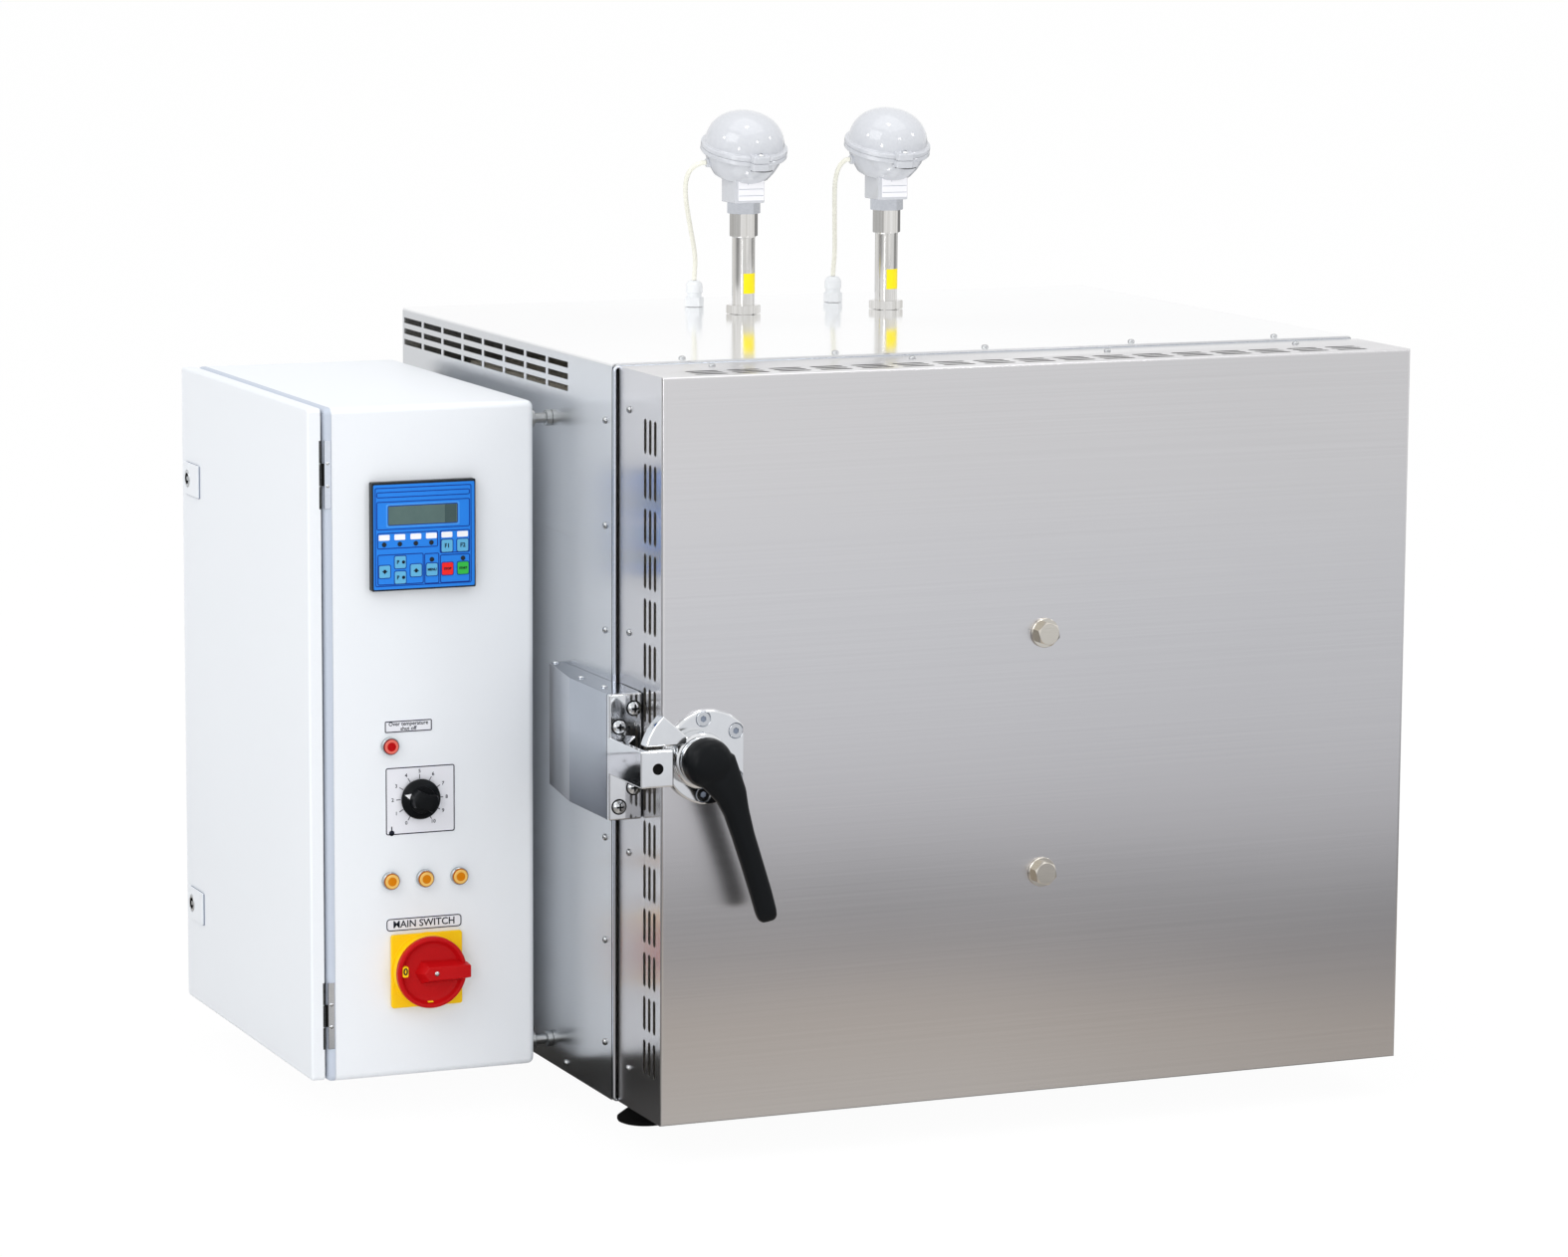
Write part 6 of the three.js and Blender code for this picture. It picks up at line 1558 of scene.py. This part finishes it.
@dataclass
class RoofSensor:
    """One temperature sensor: stem, head, lid, lead and gland."""

    side: str
    x: float
    gland_shift: float
    route: tuple[Point, ...]
    y: float = 386.0
    roof: float = 685.0
    head_height: float = 156.0
    tilt: float = 16.0
    tag: Pair = (704.5, 723.5)
    ear: tuple[Pair, ...] = ((9, -34), (9, -43), (7.5, -45.6), (3, -46), (-3, -46), (-7.5, -45.6), (-9, -43),
                             (-9, -34))

    def settle_head(self, obj: Solid) -> Solid:
        """Tilts a head piece forwards and puts it on the stem."""
        spot = place(self.x, self.y, self.roof + self.head_height)
        return put(obj, Matrix.Translation(spot) @ Matrix.Rotation(math.radians(self.tilt), 4, "X"))

    def hexagon(self, low: float, high: float, radius: float, turn: float) -> Solid:
        """A nut with both faces' corners chamfered."""
        nut = turned([(radius, low), (radius, high)], 6)
        bound = turned([(radius * 0.95, low), (radius * 1.01, low + 0.6), (radius * 1.01, high - 0.6),
                        (radius * 0.95, high)], 48)
        carve(nut, bound, Cut.KEEP)
        return settle(nut, (self.x, self.y, self.roof + 0.3), Facing.UP, turn)

    def stem(self) -> Solid:
        """Base nut, tube, hexagonal body, lock nut and probe."""
        tube = settle(turned([(3, -180), (3, -12), (10.7, -12), (10.7, 71), (11.2, 73.5)], 48),
                      (self.x, self.y, self.roof + 0.3))
        return join([tube, self.hexagon(0, 8, 16.3, 13), self.hexagon(73, 94.6, 13.9, 25)])

    def head(self) -> Solid:
        """The bowl with its rim, ear, boss, hinge and square neck."""
        bowl = turned([(24, -27), (26.5, -25.6), (31.4, -18.5), (34.6, -12), (36.6, -5.6), (37.4, -4.9),
                       (40.4, -4.5), (41, -3.8), (41, -0.9), (40.5, -0.15)], 80)
        well = turned([(31, -16), (31, 6)], 64)
        carve(bowl, well)
        block = turned([(20, -16.2), (20, -8)], 40)
        parts = [local(soften(cut_out(self.ear, 7), 0.8, 3, 40), (0, 0, -7.15))]
        for low in (-13.5, 4.8):
            parts.append(local(turned([(4, low), (4, low + 8.7)], 24), (0, 46, 0), 90, "Y"))
            parts.append(local(slab(8.7, 9, 4.3), (low + 4.35, 41.5, -4.5)))
        pin = local(turned([(1.6, -12.6), (1.6, 12.6)], 20), (0, 46, 0), 90, "Y")
        boss = local(turned([(4.4, 24), (4.4, 36.4), (3.8, 37)], 32), (0, 0, -13.5), -90, "Y")
        head = self.settle_head(join([bowl, block, *parts, pin, boss]))
        neck = soften(brick((self.x - 16, self.y - 16.5, self.roof + 105.2),
                            (self.x + 14.4, self.y + 16.5, self.roof + 136)), 1.0, 4)
        return join([head, neck])

    def lid(self) -> Solid:
        """The domed lid with its rim, front ear and hinge lug."""
        dome = turned([(40.5, 0.15), (41, 0.9), (41, 3.9), (40.4, 4.5), (38.4, 4.7), (37.7, 5.6), (37.3, 9),
                       (35.8, 14.6), (33.8, 18.9), (30.8, 23.2), (27, 26.9), (22.2, 30.1), (17, 32.5),
                       (11.4, 34.1), (6, 34.9), (1.5, 35.2)], 96)
        hollow = turned([(35, -4), (35, 6), (33, 15), (28, 22.5), (20, 28.5), (10, 31.6), (2, 32.2)], 48)
        carve(dome, hollow)
        ear = soften(cut_out(self.ear, 6.8), 0.8, 3, 40)
        local(ear, (0, 0, 0.15))
        lug = local(turned([(4, -4.5), (4, 4.5)], 24), (0, 46, 0), 90, "Y")
        web = local(slab(9, 9, 4.3), (0, 41.5, 0.2))
        return self.settle_head(join([dome, ear, lug, web]))

    def lid_screw(self) -> Solid:
        """The screw that holds the lid's ear down."""
        return self.settle_head(local(PanScrew(3.4, 2.0).model(), (0, -41.6, 6.9)))

    def lead(self) -> Solid:
        """The cream lead from the head's boss to its gland."""
        lean = math.radians(self.tilt)
        start = Vector((self.x - 36.8, self.y + math.sin(lean) * 13.5,
                        self.roof + self.head_height - math.cos(lean) * 13.5))
        end = Vector((self.x + self.gland_shift, self.y + 80, self.roof + 25.6))
        middle = [Vector((self.x + a, self.y + b, self.roof + self.head_height + c)) for a, b,
                  c in self.route]
        points = [start, start - Vector((3, -1, 0)), *middle, end + Vector((0, 0, 5)), end]
        return pipe([place(*p) for p in points], 2.2)

    def clip(self) -> Solid:
        """The thin dark wire below the lid's ear."""
        route = ((-9, -42.4, -7.2), (0, -43.6, -8.6), (8, -42.6, -9.4), (14, -40.2, -8.4))
        return self.settle_head(self.bare_pipe(route, 0.45))

    @staticmethod
    def bare_pipe(route: Sequence[Point], radius: float) -> Solid:
        """A round tube through points in millimetres about the world's origin."""
        return pipe([Vector(p) * MM for p in route], radius, 3)

    def label_lines(self) -> Solid:
        """The thin ruled lines of the bare label."""
        rules = [slab(25, 0.35, 0.12), local(slab(25, 0.35, 0.12), (0, -6.2, 0)),
                 local(slab(0.35, 5, 0.12), (-3, 6.4, 0))]
        return settle(join(rules), (self.x + 0.6, self.y - 16.74, self.roof + 118.5), Facing.FRONT)

    def gland(self) -> Solid:
        """The nylon gland with its hexagon and domed cap."""
        nut = turned([(9, 0), (9, 9)], 6)
        cap = turned([(7, 8), (7, 13), (8, 13.4), (8, 19.5), (7.4, 22.2), (5.6, 24.2), (3.4, 25)], 32)
        return settle(join([nut, cap]), (self.x + self.gland_shift, self.y + 80, self.roof + 0.3), Facing.UP,
                      10)

    def build(self) -> list[Piece]:
        """All the sensor's pieces."""
        side, body = self.side, f"lid_{self.side}"
        label = settle(slab(26, 18.5, 0.25, 0.5, 2), (self.x + 0.6, self.y - 16.5, self.roof + 117),
                       Facing.FRONT)
        tag_low, tag_high = self.tag
        tag = turned([(10.85, tag_low - self.roof), (10.85, tag_high - self.roof)], 48)
        settle(tag, (self.x, self.y, self.roof))
        keep = brick((self.x - 4.0, self.y - 12, tag_low), (self.x + 14, self.y - 1, tag_high))
        carve(tag, keep, Cut.KEEP)
        return [
            Piece(f"sensor_{side}_stem", self.stem(), "oven", "stainless", STEM_STEEL,
                  (f"sensor_stem_{side}",), 25),
            Piece(f"sensor_{side}_nut", self.hexagon(94.4, 105.4, 15.7, 13), "oven", "zinc", NUT_STEEL),
            Piece(f"sensor_{side}_bowl", self.head(), "oven", "head_paint", HEAD_PAINT,
                  (f"sensor_head_{side}",), 30),
            Piece(f"sensor_{side}_cap", self.lid(), body, "head_paint", HEAD_PAINT, (f"sensor_lid_{side}",),
                  30),
            Piece(f"sensor_{side}_screw", self.lid_screw(), body, "polished", CHROME),
            Piece(f"sensor_{side}_lead", self.lead(), "oven", "cable_sheath", SHEATH,
                  (f"sensor_lead_{side}",), 60),
            Piece(f"sensor_{side}_gland", self.gland(), "oven", "white_plastic", NYLON,
                  (f"lead_gland_{side}",)),
            Piece(f"sensor_{side}_label", label, "oven", "white_plastic", WHITE),
            Piece(f"sensor_{side}_label_lines", self.label_lines(), "oven", "black_plastic", GREY_SHADE_AND_PRINT),
            Piece(f"sensor_{side}_clip", self.clip(), "oven", "dark_steel", DARK_STEEL),
            Piece(f"sensor_{side}_tag", tag, "oven", "yellow_plastic", YELLOW_TAG),
        ]


@dataclass
class Studio:
    """Floor, light and camera."""

    lens: float = 123.23
    eye: Point = (-1656.48, -4291.16, 1160.49)
    yaw: float = 0.4008154
    pitch: float = 0.1522603
    roll: float = 0.0056846
    floor_size: float = 60.0
    white: float = 1.015
    shadow_share: float = 0.05
    # The oven's footprint, under which the floor's reflection is painted dark as a shadow.
    width_under: Pair = (DATUM.x + 0.245, 0.48)
    depth_under: Pair = (DATUM.y + 0.2265, 0.3335)
    greys: Stops = ((0.0, "cdc8c1"), (0.085, "c4bbb1"), (0.14, "9b999a"), (0.175, "a0a1a2"),
                    (0.225, "d0cfd2"), (0.3, "e5e6e9"), (0.55, "f1f3f7"), (0.72, "ffffff"))
    bearings: Stops = ((0.0, "ffffff"), (0.14, "ffffff"), (0.19, "b4b4b4"), (0.26, "909090"),
                       (0.32, "e8e8e8"), (0.36, "ffffff"), (0.465, "ffffff"), (0.5, "c0c0c0"),
                       (0.53, "909090"), (0.63, "909090"), (0.69, "f4f4f4"), (0.74, "b0b0b0"),
                       (0.79, "a0a0a0"), (0.85, "ffffff"), (1.0, "ffffff"))
    spots: tuple[Point, ...] = ((0.14, -0.38, 3.41), (-2.25, 0.05, 1.98), (2.25, -0.88, 1.98),
                                (-1.59, -1.97, 0.75), (0.79, -2.32, 1.77))

    def camera(self) -> None:
        """The camera at the photograph's place and angle."""
        data = bpy.data.cameras.new("camera")
        data.lens = self.lens
        data.sensor_width = 36.0
        data.clip_end = 200.0
        camera = bpy.data.objects.new("camera", data)
        bpy.context.collection.objects.link(camera)
        ahead = Vector((math.sin(self.yaw) * math.cos(self.pitch), math.cos(self.yaw) * math.cos(self.pitch),
                        -math.sin(self.pitch)))
        right = Vector((math.cos(self.yaw), -math.sin(self.yaw), 0))
        up = right.cross(ahead)
        side = right * math.cos(self.roll) + up * math.sin(self.roll)
        over = up * math.cos(self.roll) - right * math.sin(self.roll)
        matrix = Matrix((side, over, -ahead)).transposed().to_4x4()
        matrix.translation = place(*self.eye)
        camera.matrix_world = matrix
        bpy.context.scene.camera = camera

    def floor(self) -> None:
        """A pale floor that reads white and keeps the object's shadow."""
        begin()
        bpy.ops.mesh.primitive_plane_add(size=self.floor_size, location=(0, 0, -0.0005))
        floor = bpy.context.object
        floor.name = "studio_floor"
        made = bpy.data.materials.new("studio_floor")
        made.use_nodes = True
        graph, nodes = Graph(made.node_tree), made.node_tree.nodes
        shader = nodes["Principled BSDF"]
        for name, value in (("Base Color", (0.9, 0.9, 0.9, 1)), ("Roughness", 0.9),
                            ("Specular IOR Level", 0.0)):
            shader.inputs[name].default_value = value
        white = graph.add("Emission")
        graph.feed(white.inputs["Color"], self.mirrored_floor(graph))
        path = graph.add("LightPath").outputs
        seen = graph.math("MAXIMUM", path["Is Camera Ray"], path["Is Glossy Ray"])
        seen = graph.math("MAXIMUM", seen, path["Is Transmission Ray"])
        part = graph.math("MULTIPLY", seen, 1 - self.shadow_share)
        mix = graph.add("MixShader")
        for slot, given in zip(mix.inputs, (part, shader.outputs[0], white.outputs[0])):
            graph.feed(slot, given)
        graph.feed(nodes["Material Output"].inputs["Surface"], mix.outputs[0])
        floor.data.materials.append(made)

    def mirrored_floor(self, graph: Graph) -> Socket:
        """White to the camera; to what mirrors it, soft greys in front and a painted shadow close under the
        oven.
        """
        split = graph.add("SeparateXYZ")
        graph.feed(split.inputs[0], graph.add("NewGeometry").outputs["Position"])
        x, y = split.outputs["X"], split.outputs["Y"]
        reach = [graph.math("SUBTRACT", graph.math("ABSOLUTE", graph.math("SUBTRACT", along, middle)), half)
                 for along, middle, half in ((x, *self.width_under), (y, *self.depth_under))]
        edge = graph.math("MAXIMUM", *reach)
        across = graph.math("SUBTRACT", x, graph.math("MULTIPLY", edge, 0.42))
        slide = graph.math("MULTIPLY", graph.span(across, (0.0, 0.45, 0.0, 1.0)), 0.04)
        ahead = graph.math("ADD", graph.span(edge, (0.0, 6.0, 0.0, 1.0)), slide)
        bearing = graph.span(graph.math("ARCTAN2", x, y), (-math.pi, math.pi, 0.0, 1.0))
        # Painted shadow: inside the footprint, the floor that shiny surfaces mirror drops to a tenth of its
        # grey.
        share = graph.span(edge, (-0.03, 0.03, 0.1, 1.0))
        for factor in (graph.span(across, (0.0, 0.45, 1.0, 0.84)), graph.span(x, (-0.42, -0.3, 0.74, 1.0)),
                       graph.span(x, (-1.4, -0.45, 1.25, 1.0)), graph.ramp(bearing, self.bearings)):
            share = graph.math("MULTIPLY", share, factor)
        shade = graph.mix(share, (0, 0, 0, 1), graph.ramp(ahead, self.greys), True)
        seen = graph.add("LightPath").outputs["Is Camera Ray"]
        return graph.mix(seen, shade, (self.white, self.white, self.white, 1), True)

    def world(self) -> None:
        """A soft sky: white to the camera, brighter in front of the oven than behind it."""
        world = bpy.data.worlds.new("studio")
        bpy.context.scene.world = world
        world.use_nodes = True
        graph = Graph(world.node_tree)
        back = world.node_tree.nodes["Background"].inputs
        back["Color"].default_value = (1, 1, 1, 1)
        split = graph.add("SeparateXYZ")
        graph.feed(split.inputs[0], graph.add("TexCoord").outputs["Generated"])
        path = graph.add("LightPath").outputs
        light = graph.span(split.outputs["Y"], (-0.9, 0.9, 0.95, 0.5))
        mirrored = graph.span(split.outputs["Y"], (-0.9, 0.1, 0.95, 1.0))
        seen = graph.math("MAXIMUM", path["Is Camera Ray"], path["Is Transmission Ray"])
        level = graph.mix(path["Is Glossy Ray"], light, mirrored)
        graph.feed(back["Strength"], graph.mix(seen, level, 1.0))

    def lamp(self, name: str, at: Point, aim: Point, size: float, power: float, mirrored: bool = True,
             tall: float = 0.0) -> None:
        """One soft light.

        Args:
            name: its name.
            at: its place in metres.
            aim: where it points in metres.
            size: its side, or its width, in metres.
            power: its power in watts.
            mirrored: whether the camera and shiny surfaces show it.
            tall: its height in metres, where it isn't square.
        """
        data = bpy.data.lights.new(name, "AREA")
        data.size = size
        data.energy = power
        if tall > 0:
            data.shape, data.size_y = "RECTANGLE", tall
        light = bpy.data.objects.new(name, data)
        bpy.context.collection.objects.link(light)
        light.location = at
        light.visible_glossy = light.visible_camera = mirrored
        light.rotation_euler = (Vector(aim) - Vector(at)).to_track_quat("-Z", "Y").to_euler()

    def build(self) -> None:
        """Sets up the whole studio."""
        self.camera()
        self.floor()
        self.world()
        self.lamp("soft_left", (-3.2, -1.6, 3.0), (0, 0, 0.4), 2.6, 40)
        self.lamp("soft_top", (0.2, -0.4, 3.6), (0, 0, 0.4), 3.0, 24)
        self.lamp("soft_right", (1.0, -3.4, 1.3), (-0.3, 0, 0.4), 1.4, 5, False)
        self.lamp("gap_fill", tuple(place(-2, 170, 340)), tuple(place(-20, 170, 340)), 0.07, 0.06, False,
                  0.59)
        for n, spot in enumerate(self.spots):
            self.lamp(f"small_{n}", spot, (0.05, 0.18, 0.8), 0.3, 3)
        bpy.context.scene.view_settings.view_transform = "Standard"


def dress_frame() -> None:
    """Gives every node of the frame its finish by material slot."""
    slots = {entry["node"]: entry["material_slot"] for entry in frame["record"]["subparts"]}
    for name, obj in frame["nodes"].items():
        obj.data.materials.clear()
        obj.data.materials.append(BY_SLOT[slots[name]].material())


def main() -> None:
    """Builds every sub-assembly and reports it."""
    logging.basicConfig(level=logging.INFO, format="%(name)s: %(message)s")
    Studio().build()
    dress_frame()
    left = RoofSensor("left", 281.8, -17.8, ((-43, 8, -14), (-49.6, 14, -20), (-50.1, 22, -30),
                                             (-46.8, 32, -42), (-40.3, 44, -57), (-32.5, 56, -74),
                                             (-23.8, 68, -94), (-17.6, 76, -113)))
    right = RoofSensor("right", 429.3, -20.5, ((-40.5, 8, -14), (-44, 14, -20), (-43.6, 22, -30),
                                               (-40.4, 32, -42), (-35, 44, -57), (-29.7, 56, -74),
                                               (-24.1, 68, -94), (-20.6, 76, -113)))
    for assembly in (Casing(), Door(), Latch(), Cabinet(), Keypad(), FrontPanel(), left, right):
        for piece in assembly.build():
            piece.deliver()


if __name__ == "__main__":
    main()
